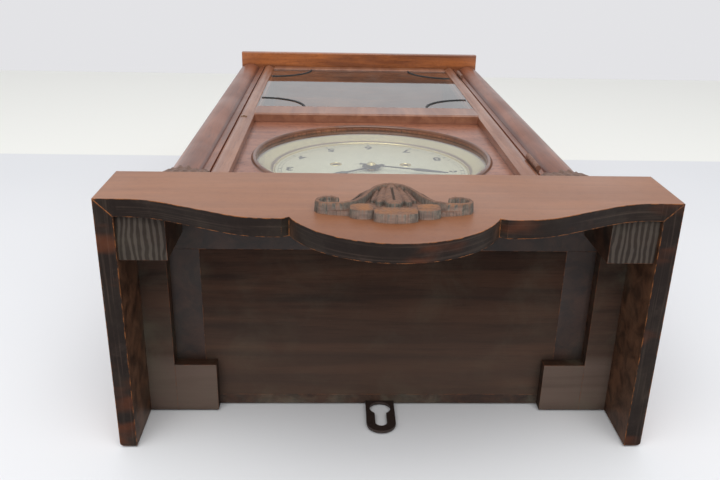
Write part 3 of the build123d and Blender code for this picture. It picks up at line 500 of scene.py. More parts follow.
@dataclass(frozen=True)
class RawWood(Wood):
    """Softwood blocks and boards, their end grain in raised ridges."""

    def front_and_back(self, paint: Paint, colour: Socket, broad: Socket) -> Socket:
        """Adds end-grain ridges on the faces that look up, and painted light on them that grows towards the
        wall.

        Args:
            paint: The material's tree.
            colour: The stain so far.
            broad: The broad streaks of the grain.
        Returns:
            The colour.
        """
        upward = paint.smooth(paint.axis(paint.geometry.outputs["Normal"], "Z"), 0.4, 0.8)
        wave = paint.node("ShaderNodeTexWave", wave_type="BANDS", bands_direction="X")
        paint.feed(wave.inputs["Vector"], paint.scaled(1, 0.35, 1))
        for key, value in (("Scale", 84.0), ("Distortion", 6.0), ("Detail", 3.0), ("Detail Scale", 1.2)):
            wave.inputs[key].default_value = value
        ridge = paint.smooth(wave.outputs["Fac"], 0.25, 0.8)
        front_block = paint.smooth(paint.axis(paint.place, "Y"), -0.142, -0.143)
        crown_floor = paint.smooth(paint.axis(paint.place, "Z"), -0.0205, -0.0195)
        raised = paint.math("MULTIPLY", upward, crown_floor)
        raised = paint.math("MULTIPLY", raised, paint.smooth(broad, 0.2, 0.7, 0.45, 0.85))
        rear = paint.smooth(paint.axis(paint.place, "Y"), -0.050, -0.042, 0.15, 1.0)
        raised = paint.math("MULTIPLY", raised, rear)
        colour = paint.mix(raised, colour, tint(104, 90, 82))
        # Painted light and shade: upward faces turn lighter and greyer towards the wall, leaving their front
        # part under the fascia darker as if in its shade.
        painted_light_toward_wall = paint.smooth(paint.axis(paint.place, "Y"), -0.130, -0.010, 0.0, 0.35)
        colour = paint.mix(paint.math("MULTIPLY", upward, painted_light_toward_wall), colour, tint(106, 88, 78))
        share = paint.math("MULTIPLY", paint.math("MULTIPLY", upward, front_block), 0.85)
        return paint.mix(share, colour, paint.mix(ridge, tint(46, 40, 36), tint(77, 70, 64)))

    def polish(self, paint: Paint) -> tuple[Number, Number]:
        """Raw wood hardly shines. Returns: the coat's share and the shine's level."""
        return self.coat, 0.15


@dataclass(frozen=True)
class Metal:
    """A metal finish: its colour, polish, tarnish and brushing.

    cover is how much tarnish there is, brushed how strong the brushing is, and arris the rounding
    of an edge in metres.
    """

    name: str
    colour: Colour
    tarnish: Colour
    rough: float = 0.3
    metal: float = 1.0
    cover: float = 0.4
    brushed: float = 0.0
    arris: float = 0.0002

    def build(self) -> bpy.types.Material:
        """Builds the material.

        Returns:
            The material.
        """
        paint = Paint(self.name)
        spots = paint.noise(paint.place, 180.0, 5, 0.65)
        nooks = paint.hollows(0.004, 0.3, 0.9)
        cover = paint.math("ADD", paint.smooth(spots, 0.45, 0.75), paint.math("MULTIPLY", nooks, 0.6))
        cover = paint.math("MULTIPLY", cover, self.cover)
        colour = paint.mix(cover, self.colour, self.tarnish)
        rough = paint.smooth(cover, 0.0, 0.7, self.rough, min(0.9, self.rough + 0.3))
        lines = paint.noise(paint.scaled(120, 120, 4000), 1.0, 2, 0.5)
        brushed = paint.math("MULTIPLY", lines, self.brushed)
        height = paint.math("ADD", brushed, paint.math("MULTIPLY", spots, 0.2))
        normal = paint.bump(height, 0.3, 0.00005, paint.rounded(self.arris))
        return paint.finish(colour, rough, normal, metal=self.metal)


@dataclass(frozen=True)
class Glass:
    """Window glass: the mirror share of its two sides, 2F / (1 + F), over a faintly dusty layer.

    F is one side's mirror share at the refractive index. Only the front side mirrors.
    """

    name: str
    index: float = 1.5
    clear: Colour = (0.94, 0.96, 0.95, 1)
    film: Colour = tint(214, 214, 206)
    gloss_rough: float = 0.02

    def build(self) -> bpy.types.Material:
        """Builds the material.

        Returns:
            The material.
        """
        paint = Paint(self.name)
        fresnel = paint.node("ShaderNodeFresnel")
        fresnel.inputs["IOR"].default_value = self.index
        clear = paint.node("ShaderNodeBsdfTransparent")
        clear.inputs["Color"].default_value = self.clear
        film = paint.node("ShaderNodeBsdfDiffuse")
        film.inputs["Color"].default_value = self.film
        gloss = paint.node("ShaderNodeBsdfGlossy")
        gloss.inputs["Roughness"].default_value = self.gloss_rough
        ripple = paint.noise(paint.place, 9.0, 2, 0.5)
        paint.feed(gloss.inputs["Normal"], paint.bump(ripple, 0.06, 0.004))
        smear = paint.smooth(paint.noise(paint.place, 30.0, 6, 0.7), 0.35, 0.85, 0.02, 0.10)
        base = paint.node("ShaderNodeMixShader")
        paint.feed(base.inputs[0], smear)
        paint.feed(base.inputs[1], clear.outputs[0])
        paint.feed(base.inputs[2], film.outputs[0])
        top = paint.node("ShaderNodeMixShader")
        facing = paint.math("SUBTRACT", 1.0, paint.geometry.outputs["Backfacing"])
        twice = paint.math("MULTIPLY", fresnel.outputs[0], 2.0)
        both = paint.math("DIVIDE", twice, paint.math("ADD", fresnel.outputs[0], 1.0))
        paint.feed(top.inputs[0], paint.math("MULTIPLY", both, facing))
        paint.feed(top.inputs[1], base.outputs[0])
        paint.feed(top.inputs[2], gloss.outputs[0])
        return paint.close(top.outputs[0])


@dataclass(frozen=True)
class DialPaint:
    """Cream enamel paint with a faint yellowing towards its edge and fine specks."""

    name: str
    cream: Colour = tint(226, 220, 198)
    yellowed: Colour = tint(206, 196, 164)
    clouded: Colour = tint(186, 176, 148)
    speck: Colour = tint(120, 108, 84)

    def build(self) -> bpy.types.Material:
        """Builds the material.

        Returns:
            The material.
        """
        paint = Paint(self.name)
        offset = paint.node("ShaderNodeVectorMath", operation="DISTANCE")
        paint.feed(offset.inputs[0], paint.place)
        offset.inputs[1].default_value = DIAL_CENTRE
        far = paint.smooth(offset.outputs["Value"], 0.03, 0.1)
        cloud = paint.noise(paint.place, 40.0, 5, 0.6)
        colour = paint.mix(paint.math("MULTIPLY", far, 0.5), self.cream, self.yellowed)
        colour = paint.mix(paint.smooth(cloud, 0.5, 0.8, 0.0, 0.3), colour, self.clouded)
        speck = paint.smooth(paint.noise(paint.place, 700.0, 2, 0.5), 0.72, 0.78)
        colour = paint.mix(paint.math("MULTIPLY", speck, 0.5), colour, self.speck)
        return paint.finish(colour, 0.38, paint.bump(cloud, 0.1, 0.0001), coat=0.3, coat_rough=0.2)


@dataclass(frozen=True)
class Carving:
    """Carving in dark shellac: dusty grey sides, painted shade in the hollows, brown rubbed tops.

    rubbed_from is the stretch of distance from the wall, in metres, over which rubbing sets in.
    """

    name: str
    dark: Colour = tint(88, 63, 51)
    light: Colour = tint(126, 94, 77)
    rubbed: Colour = tint(138, 94, 60)
    dust_dark: Colour = tint(82, 78, 72)
    dust_light: Colour = tint(118, 112, 102)
    worn: Colour = tint(146, 96, 66)
    # The nook colour is painted shade, laid into the carving's hollows.
    nook: Colour = tint(60, 48, 42)
    rubbed_from: tuple[float, float] = (0.1905, 0.1922)

    def build(self) -> bpy.types.Material:
        """Builds the material.

        Returns:
            The material.
        """
        paint = Paint(self.name)
        fibre = paint.noise(paint.scaled(60, 300, 900), 1.0, 4, 0.6)
        patch = paint.noise(paint.place, 130.0, 4, 0.6)
        depth = paint.math("MULTIPLY", paint.axis(paint.place, "Y"), -1.0)
        outer = paint.smooth(paint.axis(paint.geometry.outputs["Normal"], "Y"), -0.35, -0.8)
        colour = paint.mix(paint.smooth(fibre, 0.3, 0.7), self.dark, self.light)
        raised = paint.smooth(depth, *self.rubbed_from)
        rubbed = paint.math("MULTIPLY", raised, paint.smooth(patch, 0.30, 0.70))
        height = paint.axis(paint.place, "Z")
        rubbed = paint.math("MULTIPLY", rubbed, paint.smooth(height, 0.0465, 0.0500, 0.25, 1.0))
        colour = paint.mix(rubbed, colour, self.rubbed)
        dusty = paint.mix(paint.smooth(fibre, 0.35, 0.7), self.dust_dark, self.dust_light)
        colour = paint.mix(paint.math("SUBTRACT", 1.0, outer), colour, dusty)
        arris = paint.math("MULTIPLY", paint.edges(0.0007, 0.03, 0.25), 0.5)
        colour = paint.mix(arris, colour, self.worn)
        # Painted shade: the carving's hollows are darkened towards the nook colour.
        nooks = paint.hollows(0.006, 0.2, 0.9)
        colour = paint.mix(paint.math("MULTIPLY", nooks, 0.75), colour, self.nook)
        normal = paint.bump(paint.math("ADD", fibre, patch), 0.4, 0.00018)
        return paint.finish(colour, 0.62, normal, coat=0.05)


def finishes() -> dict[str, bpy.types.Material]:
    """Builds every finish of the clock.

    Returns:
        The materials, by the record's material slot.
    """
    light, deep = tint(158, 108, 80), tint(122, 76, 54)
    woods = (
        CrownWood("crown_wood", tint(150, 100, 68), tint(132, 86, 58), rough=0.46, coat=0.38,
                  coat_rough=0.34, figure=0.3, burl=0.12, wear=0.9, arris=0.0012, dust=0.42,
                  settled=tint(98, 89, 76)),
        CaseWood("case_wood", tint(62, 38, 27), tint(32, 20, 15), Grain.ALONG_Z, rough=0.6, coat=0.05,
                 wear=0.3, dust=0.12),
        RawWood("raw_wood", tint(70, 46, 33), tint(34, 22, 17), rough=0.75, coat=0.0, wear=0.55, dust=0.6,
                worn=tint(150, 84, 48), settled=tint(100, 95, 81), figure=0.8),
        Wood("back_wood", tint(78, 50, 34), tint(42, 26, 18), Grain.ALONG_Z, rough=0.7, coat=0.0, dust=0.7,
             wear=0.3),
        Wood("plinth_wood", tint(196, 116, 58), tint(116, 62, 32), rough=0.36, coat=0.4, burl=0.25,
             arris=0.0016),
        # The pilasters and the door get light nook colours, which paint light into the shade of their gaps.
        # The pilasters also get a painted dark line of shade along the gap to the door.
        Wood("column_wood", tint(142, 84, 56), tint(104, 58, 38), Grain.ALONG_Z, rough=0.4, coat=0.3,
             wear=0.3, grime=0.7, nook=tint(156, 104, 84), line=0.1556),
        Wood("door_wood", light, deep, Grain.ALONG_Z, rough=0.38, coat=0.45, wear=0.4, grime=0.7,
             nook=tint(150, 98, 78)),
        Wood("panel_wood", tint(172, 112, 84), tint(128, 76, 54), rough=0.36, coat=0.45, figure=1.2,
             grime=0.6, burl=0.55),
        Wood("ring_wood", tint(126, 76, 46), tint(84, 48, 28), rough=0.3, coat=0.7, wear=0.3),
        Wood("rod_wood", tint(150, 92, 50), tint(110, 62, 32), Grain.ALONG_Z, rough=0.3, coat=0.6,
             wear=0.0),
    )
    metals = (
        Metal("hanger_steel", tint(74, 62, 58), tint(42, 32, 28), 0.45, metal=0.7),
        Metal("screw_steel", tint(96, 88, 82), tint(58, 44, 36), 0.4),
        Metal("came_metal", tint(62, 64, 66), tint(44, 46, 46), 0.55, metal=0.6),
        Metal("hinge_brass", tint(130, 92, 74), tint(98, 66, 52), 0.5, metal=0.25, cover=0.7),
        Metal("lock_brass", tint(140, 104, 72), tint(84, 60, 42), 0.42, metal=0.6, cover=0.7),
        Metal("lock_steel", tint(140, 138, 134), tint(88, 76, 66), 0.32),
        Metal("bezel_brass", tint(240, 220, 168), tint(190, 160, 104), 0.16, cover=0.2),
        Metal("hand_steel", tint(28, 30, 44), tint(16, 16, 20), 0.3, metal=0.8),
        Metal("plate_brass", tint(206, 172, 104), tint(130, 100, 56), 0.28, brushed=0.6),
        Metal("wheel_brass", tint(216, 182, 112), tint(140, 108, 60), 0.24, brushed=0.3),
        Metal("pinion_steel", tint(168, 168, 170), tint(96, 90, 84), 0.24),
        Metal("spring_steel", tint(150, 154, 164), tint(96, 96, 100), 0.28),
        Metal("bob_brass", tint(220, 182, 104), tint(150, 112, 58), 0.2, cover=0.35),
        Metal("gong_iron", tint(30, 29, 29), tint(46, 38, 32), 0.55, metal=0.4),
        Metal("gong_steel", tint(120, 124, 134), tint(84, 76, 70), 0.3),
        Metal("ink", tint(30, 29, 32), tint(52, 50, 50), 0.6, metal=0.0, cover=0.3),
    )
    others = (Glass("clear_glass"), DialPaint("dial_paint"), Carving("carved_wood"))
    return {finish.name: finish.build() for finish in (*woods, *metals, *others)}


def solid(name: str, points: np.ndarray, faces: np.ndarray, material: bpy.types.Material,
          smooth: bool = True) -> bpy.types.Object:
    """Makes an object from arrays.

    Args:
        name: The object's name.
        points: The vertices in metres, one row each.
        faces: The vertex numbers of each four-sided face, one row each.
        material: Its finish.
        smooth: Whether its shading is smooth.
    Returns:
        The object, linked to the scene.
    """
    mesh = bpy.data.meshes.new(name)
    mesh.from_pydata(points.tolist(), [], faces.tolist())
    mesh.validate()
    mesh.polygons.foreach_set("use_smooth", np.full(len(mesh.polygons), smooth))
    mesh.materials.append(material)
    made = bpy.data.objects.new(name, mesh)
    bpy.context.scene.collection.objects.link(made)
    return made


def grid_faces(rows: int, columns: int, around: bool = False) -> np.ndarray:
    """The faces of a grid of points numbered row by row.

    Args:
        rows, columns: The grid's size.
        around: Whether the last column joins the first.
    Returns:
        The vertex numbers, four to a face.
    """
    steps = columns if around else columns - 1
    row, column = np.meshgrid(np.arange(rows - 1), np.arange(steps), indexing="ij")
    after = (column + 1) % columns
    return np.stack([row * columns + column, row * columns + after,
                     (row + 1) * columns + after, (row + 1) * columns + column], axis=-1).reshape(-1, 4)


def turned(name: str, profile: Profile, centre: Vector, material: bpy.types.Material,
           steps: int) -> bpy.types.Object:
    """Turns a profile round an axis that points at the viewer.

    The point at angle a of profile row (r, d) is (r cos a, -d, r sin a) from the centre. Where
    the profile runs away from the axis, its faces look at the wall.

    Args:
        name: The object's name.
        profile: Radius and forward distance in millimetres, one row a point.
        centre: Where the axis passes.
        material: Its finish.
        steps: How many steps go round.
    Returns:
        The object.
    """
    rows = np.array(profile)
    angle = np.linspace(0, 2 * np.pi, steps, endpoint=False)
    radius, depth = rows[:, :1] * MM, rows[:, 1:] * MM
    points = np.stack([radius * np.cos(angle), -depth + 0 * angle, radius * np.sin(angle)], axis=-1)
    points = points.reshape(-1, 3) + np.array(centre)
    return solid(name, points, grid_faces(len(rows), steps, True), material)


def half_round(x: np.ndarray, middle: float, half: Union[float, np.ndarray]) -> np.ndarray:
    """The height of a half circle, the root of 1 - ((x - middle) / half) squared.

    Args:
        x: The places.
        middle, half: The half circle's middle, and the half width that it is stretched to.
    Returns:
        The height at each place, from 0 to 1.
    """
    return np.sqrt(np.clip(1 - ((x - middle) / half) ** 2, 0, 1))


@dataclass(frozen=True)
class Ridge:
    """A raised band along a path, in millimetres.

    Its height is that of a flat top which falls in a quarter round past the flat share of its
    half width, and the half width shrinks by the taper towards the path's end.
    """

    path: Profile
    half: float
    top: float
    flat: float
    taper: float = 0.0
    edge: float = 0.35

    def height(self, x: np.ndarray, z: np.ndarray) -> np.ndarray:
        """How high the band stands.

        Args:
            x, z: The places in millimetres.
        Returns:
            The height at each place, and nought beside the band.
        """
        path = np.array(self.path)
        best = np.zeros_like(x)
        shares = np.linspace(0, 1, len(path))
        for start, end, share in zip(path[:-1], path[1:], shares[:-1]):
            run = end - start
            along = np.clip(((x - start[0]) * run[0] + (z - start[1]) * run[1]) / (run @ run), 0, 1)
            gap = np.hypot(x - start[0] - along * run[0], z - start[1] - along * run[1])
            wide = self.half * (1 - self.taper * (share + along / len(path)))
            fall = np.clip((gap / wide - self.flat) / (1 - self.flat), 0, 1)
            rise = self.top * (self.edge + (1 - self.edge) * half_round(fall, 0, 1))
            best = np.maximum(best, np.where(gap < wide, rise, 0))
        return best


@dataclass(frozen=True)
class Lobe:
    """A petal that swells from its root and is round at its tip, in millimetres.

    Its half width grows by a quarter sine over the first seven tenths of its length and ends in
    a half ellipse, and its height across is a half round.
    """

    root: tuple[float, float]
    tip: tuple[float, float]
    half: float
    low: float
    high: float
    swells: float = 0.7
    neck: float = 0.45

    def height(self, x: np.ndarray, z: np.ndarray) -> np.ndarray:
        """How high the petal stands.

        Args:
            x, z: The places in millimetres.
        Returns:
            The height at each place, and nought beside the petal.
        """
        run = np.array(self.tip) - np.array(self.root)
        length = np.hypot(*run)
        along = ((x - self.root[0]) * run[0] + (z - self.root[1]) * run[1]) / length**2
        across = ((x - self.root[0]) * -run[1] + (z - self.root[1]) * run[0]) / length
        swelling = self.neck + (1 - self.neck) * np.sin(np.pi / 2 * np.clip(along / self.swells, 0, 1))
        ending = half_round(along, self.swells, 1 - self.swells)
        wide = self.half * np.where(along < self.swells, swelling, ending) + 1e-6
        inside = (along > 0) & (along < 1) & (np.abs(across) < wide)
        return np.where(inside, self.low + (self.high - self.low) * half_round(across, 0, wide), 0)


@dataclass(frozen=True)
class Crest:
    """The carved crest: two ribbon scrolls, a fan of lobes, leaf strands and three scallops.

    Sizes are in millimetres, out from the crest's middle and up from the corner height. field is
    how far the flat ground stands out of the fascia, and outside is where the mesh goes on, hidden
    in the fascia, beside the carving.
    """

    material: bpy.types.Material
    half_width: float = 52.0
    low: float = -20.0
    high: float = 44.0
    pitch: float = 0.32
    field: float = 2.6
    outside: float = -0.5
    scallop_end: float = 13.0
    lower_edge: Profile = ((0, -15.6), (5.5, -13.6), (10.7, -8.2), (14.6, 0), (18.6, 11), (24, 18.8),
                           (31.9, 21.8), (41.6, 22.3), (47.8, 20))
    tail_edge: Profile = ((27, 27.5), (40, 25.5), (47.8, 20))
    lobes: tuple[Lobe, ...] = (
        Lobe((0, -17), (0, 23), 5.9, 4.2, 6.8),
        Lobe((4.4, -15.5), (9.4, 18), 3.1, 3.2, 5.8),
        Lobe((8.4, -11), (13.4, 12.5), 1.9, 2.8, 4.8),
    )
    groove: float = 2.0
    groove_half: float = 0.6
    groove_ends: tuple[float, float] = (-9, 17)
    ribbon: Ridge = Ridge(((0, -15.6), (5.5, -13.6), (10.7, -8.2), (14.6, 0), (18.6, 11), (24, 18.8),
                           (31.9, 22.8), (40, 23.4), (45.2, 22), (46.9, 18.6), (45.8, 14.8), (42.5, 12),
                           (38.2, 11.4), (34.6, 14)), 1.3, 7.0, 0.85)
    strands: tuple[Ridge, ...] = (
        Ridge(((11, -14), (16.5, -7), (20.5, 3), (26, 13)), 1.5, 4.2, 0.1, 0.8),
        Ridge(((14.5, -14), (20, -6), (24.5, 4), (31, 14)), 1.2, 3.0, 0.1, 0.8),
    )

    def outline(self, x: np.ndarray) -> tuple[np.ndarray, np.ndarray]:
        """The bounds of the carving's field: half ellipses over the scallops, lines elsewhere.

        Args:
            x: Distances from the middle.
        Returns:
            The lower and the upper height.
        """
        lower = np.interp(x, *np.transpose(self.lower_edge))
        middle = 34.5 + 5 * half_round(x, 0, 13.6)
        side = 27.5 + 5.5 * half_round(x, 19, 8.6)
        tail = np.interp(x, *np.transpose(self.tail_edge))
        return lower, np.where(x < self.scallop_end, middle, np.where(x < 27.2, side, tail))

    def background(self, side: np.ndarray, z: np.ndarray) -> np.ndarray:
        """The flat field, and the scallops rolled along its upper edge.

        A roll is deeper where its half ellipse is higher, and it rises in a quarter sine from the
        upper edge inwards.

        Args:
            side, z: Distances from the middle, and heights.
        Returns:
            How far it stands out, below nought outside the carving.
        """
        lower, upper = self.outline(side)
        field = np.where((z > lower) & (z < upper), self.field, self.outside)
        inset = upper - z
        swell = np.where(side < self.scallop_end, half_round(side, 0, 13.4), half_round(side, 19.6, 7.6))
        deep = 2.5 + 6.5 * swell
        roll = np.sin(np.pi / 2 * np.clip(inset / deep, 0, 1))
        band = (inset > 0) & (inset < deep) & (side < 27)
        return np.where(band, 4.2 + 1.3 * np.sqrt(swell) + 1.4 * roll, field)

    def height(self, x: np.ndarray, z: np.ndarray) -> np.ndarray:
        """How far the carving stands out of the fascia.

        It is the highest of the field with its scallops, the fan, the strands and the ribbons,
        with shallow sine ripples for the tool's cuts.

        Args:
            x, z: The places in millimetres.
        Returns:
            The height at each place, below nought outside the carving.
        """
        side = np.abs(x)
        fan = np.maximum.reduce([lobe.height(side, z) for lobe in self.lobes])
        bottom, top = self.groove_ends
        fan -= self.groove * np.exp(-((side / self.groove_half) ** 2)) * (z > bottom) * (z < top)
        ribbon = self.ribbon.height(side, z)
        strands = np.maximum.reduce([strand.height(side, z) for strand in self.strands])
        total = np.maximum.reduce([
            self.background(side, z),
            np.where(fan > 0.5, fan, self.outside),
            ribbon + self.outside * (ribbon <= 0),
            strands + self.outside * (strands <= 0),
        ])
        cuts = 0.12 * np.sin(side * 2.1 + 0.6 * z) * np.sin(z * 1.7) + 0.06 * np.sin(7.3 * z + 3.1 * side)
        return np.where(total > 0, total + cuts, total)

    def build(self) -> list[bpy.types.Object]:
        """Builds the carving in place of its plain solid.

        Returns:
            The piece.
        """
        columns = round(2 * self.half_width / self.pitch)
        rows = round((self.high - self.low) / self.pitch)
        x, z = np.meshgrid(np.linspace(-self.half_width, self.half_width, columns),
                           np.linspace(self.low, self.high, rows))
        points = np.stack([x * MM, -FASCIA_FRONT - self.height(x, z) * MM, z * MM + CORNER_HEIGHT], axis=-1)
        made = solid("carved_crest", points.reshape(-1, 3), grid_faces(rows, columns), self.material)
        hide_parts("crest")
        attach(made, "case")
        return [made]


@dataclass(frozen=True)
class Dial:
    """What is printed and riveted on the dial: numerals, minute track, eyelets and hub.

    Sizes are in millimetres from the dial's centre. A profile is radius and forward distance.
    """

    made: dict[str, bpy.types.Material]
    numeral_radius: float = 81.5
    numeral_size: float = 17.0
    numeral_lift: float = 0.06
    numeral_thickness: float = 0.03
    numeral_weight: float = 0.45
    numeral_spacing: float = 0.9
    track: tuple[float, float] = (89.5, 93.0)
    ink_lift: float = 0.05
    stroke_half: float = 0.28
    fifth_half: float = 0.75
    circle_half: float = 0.15
    hole_aside: float = 35.5
    hole_drop: float = 17.0
    eyelet: Profile = ((4.5, -0.9), (4.5, 0.35), (4.9, 0.6), (5.6, 0.55), (6.1, 0.3), (6.2, 0.02))
    boss: Profile = ((4.02, 2.95), (7.5, 2.95), (9.0, 3.0), (9.4, 3.2), (9.0, 3.5), (7.2, 3.55), (4.02, 3.6))
    nut: Profile = ((2.7, 5.12), (4.6, 5.15), (4.8, 5.5), (4.4, 6.0), (3.0, 6.3), (2.9, 7.0), (1.9, 7.3),
                    (0.01, 7.35))
    circle_steps: int = 180
    eyelet_steps: int = 48
    hub_steps: int = 64

    def numeral(self, hour: int) -> bpy.types.Object:
        """Prints one upright numeral.

        Args:
            hour: Its number.
        Returns:
            The piece.
        """
        letter = bpy.data.curves.new(f"numeral_{hour}", "FONT")
        letter.body = str(hour)
        letter.size = self.numeral_size * MM
        letter.align_x = "CENTER"
        letter.align_y = "CENTER"
        letter.extrude = self.numeral_thickness * MM
        letter.offset = self.numeral_weight * MM
        letter.space_character = self.numeral_spacing
        letter.materials.append(self.made["ink"])
        made = bpy.data.objects.new(letter.name, letter)
        bpy.context.scene.collection.objects.link(made)
        angle = math.radians(30 * hour)
        radius = self.numeral_radius * MM
        step = Vector((radius * math.sin(angle), -self.numeral_lift * MM, radius * math.cos(angle)))
        made.location = DIAL_CENTRE + step
        made.rotation_euler = (math.pi / 2, 0, 0)
        bpy.context.view_layer.update()
        mesh = bpy.data.meshes.new_from_object(made)
        mesh.transform(made.matrix_world)
        printed = bpy.data.objects.new(f"printed_{hour}", mesh)
        bpy.context.scene.collection.objects.link(printed)
        bpy.data.objects.remove(made)
        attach(printed, "case")
        return printed

    def minute_track(self) -> list[bpy.types.Object]:
        """Prints two circles and sixty strokes, the fifth ones thicker, as thin raised ink.

        A stroke's corners lie at both radii of the track, half its width to either side.

        Returns:
            The pieces.
        """
        inner, outer = self.track
        minute = np.arange(60)
        angle = np.radians(6.0 * minute)
        half = np.where(minute % 5 == 0, self.fifth_half, self.stroke_half)
        corner = np.array([(inner, -1), (outer, -1), (outer, 1), (inner, 1)])
        radius, lean = corner[:, 0], corner[:, 1] * half[:, None]
        x = radius * np.sin(angle)[:, None] + lean * np.cos(angle)[:, None]
        z = radius * np.cos(angle)[:, None] - lean * np.sin(angle)[:, None]
        points = np.stack([x, np.full_like(x, -self.ink_lift), z], axis=-1).reshape(-1, 3)
        points = points * MM + np.array(DIAL_CENTRE)
        faces = np.arange(len(points)).reshape(-1, 4)
        pieces = [solid("minute_strokes", points, faces, self.made["ink"], False)]
        for name, radius in (("inner_circle", inner), ("outer_circle", outer)):
            line = ((radius - self.circle_half, self.ink_lift), (radius + self.circle_half, self.ink_lift))
            pieces.append(turned(name, line, DIAL_CENTRE, self.made["ink"], self.circle_steps))
        for piece in pieces:
            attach(piece, "case")
        return pieces

    def eyelets(self) -> list[bpy.types.Object]:
        """Rivets a brass eyelet in each winding hole.

        Returns:
            The pieces.
        """
        pieces = []
        for side in (1, -1):
            hole = DIAL_CENTRE + Vector((side * self.hole_aside * MM, 0, -self.hole_drop * MM))
            made = turned(f"eyelet_{side}", self.eyelet, hole, self.made["bezel_brass"], self.eyelet_steps)
            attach(made, "case")
            pieces.append(made)
        return pieces

    def hub(self) -> list[bpy.types.Object]:
        """Sets the hour hand's turned boss and the minute hand's nut and washer.

        Returns:
            The pieces.
        """
        pieces = []
        for name, profile, body, slot in (("hour_boss", self.boss, "hour_hand", "hand_steel"),
                                          ("hand_nut", self.nut, "minute_hand", "bezel_brass")):
            made = turned(name, profile, DIAL_CENTRE, self.made[slot], self.hub_steps)
            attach(made, body)
            pieces.append(made)
        return pieces

    def build(self) -> list[bpy.types.Object]:
        """Builds everything on the dial. Returns: the pieces."""
        numerals = [self.numeral(hour) for hour in range(1, 13)]
        return numerals + self.minute_track() + self.eyelets() + self.hub()


@dataclass(frozen=True)
class DialSurround:
    """The turned lip of the door's dial opening, and the polished bezel dished up to it.

    A profile is radius and forward distance in millimetres from the dial's centre.
    """

    made: dict[str, bpy.types.Material]
    lip: Profile = ((113.5, 10.5), (113.5, 15.2), (113.9, 16.3), (114.9, 17.0), (116.1, 17.0),
                    (117.2, 16.3), (118.0, 15.1), (118.4, 14.1), (119.0, 14.0))
    dish: Profile = ((96.0, 0.1), (95.8, 1.4), (96.3, 2.2), (97.3, 2.4), (98.4, 1.9), (99.2, 1.5),
                     (101.5, 1.7), (104.3, 2.6), (106.8, 4.0), (109.0, 5.7), (110.8, 7.0), (112.0, 7.6),
                     (113.4, 7.7), (118.0, 7.4), (118.0, 5.0))
    steps: int = 192

    def build(self) -> list[bpy.types.Object]:
        """Builds both in place of their plain solids.

        Returns:
            The pieces.
        """
        pieces = []
        for node, profile, body, slot in (("dial_ring", self.lip, "door", "ring_wood"),
                                          ("bezel", self.dish, "case", "bezel_brass")):
            made = turned(f"turned_{node}", profile, DIAL_CENTRE, self.made[slot], self.steps)
            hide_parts(node)
            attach(made, body)
            pieces.append(made)
        return pieces


@dataclass(frozen=True)
class Capitals:
    """The carved leaf capitals: low tips on the pilasters that swell into the brackets.

    Sizes are in millimetres in the part's frame, on the side of positive X. lean is the distance
    from the wall at each share of the height.
    """

    material: bpy.types.Material
    flutes: int = 5
    middle: float = 164.15
    half_width: float = 18.15
    low: float = -169.0
    high: float = -33.2
    tip_rise: float = 4.2
    side_depth: float = 116.0
    shaft_middle: float = 168.55
    shaft_half: float = 13.2
    shaft_depth: float = 143.2
    shaft_rise: float = 5.9
    fillet_end: float = 155
    fillet_depth: float = 145.1
    clearance: float = 0.7
    lean: Profile = ((0, 146.5), (0.12, 150.5), (0.35, 154.5), (0.6, 159.5), (0.82, 165.6), (1.0, 167.2))
    columns: int = 141
    rows: int = 161

    def surface(self, across: np.ndarray, rise: np.ndarray) -> np.ndarray:
        """How far the leaf stands in front of the wall.

        It follows the pilaster's half round at its tips and leans out to the crown. Flutes of a
        squared cosine run up it, and shallow veins of a sine cross them.

        Args:
            across: Places across, from -1 at the door to 1 at the outer side.
            rise: Places up, from 0 to 1.
        Returns:
            The distance from the wall in millimetres.
        """
        x = self.middle + self.half_width * across
        column = self.shaft_depth + self.shaft_rise * half_round(x, self.shaft_middle, self.shaft_half)
        column = np.maximum(column, np.where(x < self.fillet_end, self.fillet_depth, 0))
        bracket = np.interp(rise, *np.transpose(self.lean))
        flute = np.cos(np.pi * self.flutes * across / 2) ** 2
        dome = half_round(0.93 * across, 0, 1)
        vein = np.sin(26 * rise + 5 * np.abs(np.sin(np.pi * self.flutes * across / 2)))
        relief = (0.5 + 2.0 * np.clip(rise * 5, 0, 1)) * dome * (0.25 + 0.75 * flute) + 0.25 * vein * dome
        return np.maximum(column + self.clearance, bracket) + relief

    def build(self) -> list[bpy.types.Object]:
        """Builds a capital on each pilaster, with its sides and its scalloped lower edge.

        The leaf's grid gets one more column at each side and one more row below, at the depth
        where the sides end.

        Returns:
            The pieces.
        """
        across, rise = np.meshgrid(np.linspace(-1, 1, self.columns), np.linspace(0, 1, self.rows))
        depth = self.surface(across, rise)
        tips = self.low + self.tip_rise * np.abs(np.sin(np.pi * self.flutes * across / 2)) ** 1.5
        x = self.middle + self.half_width * across
        z = tips + (self.high - tips) * rise
        wall = np.full((self.rows, 1), self.side_depth)
        x = np.hstack([x[:, :1], x, x[:, -1:]])
        z = np.hstack([z[:, :1], z, z[:, -1:]])
        depth = np.hstack([wall, depth, wall])
        x, z = np.vstack([x[:1], x]), np.vstack([z[:1], z])
        depth = np.vstack([np.full((1, depth.shape[1]), self.side_depth), depth])
        pieces = []
        for side in (1, -1):
            points = np.stack([side * x * MM, -depth * MM, z * MM], axis=-1).reshape(-1, 3)
            faces = grid_faces(*x.shape)
            made = solid(f"capital_{side}", points, faces if side > 0 else faces[:, ::-1], self.material)
            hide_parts("capitals")
            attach(made, "case")
            pieces.append(made)
        return pieces


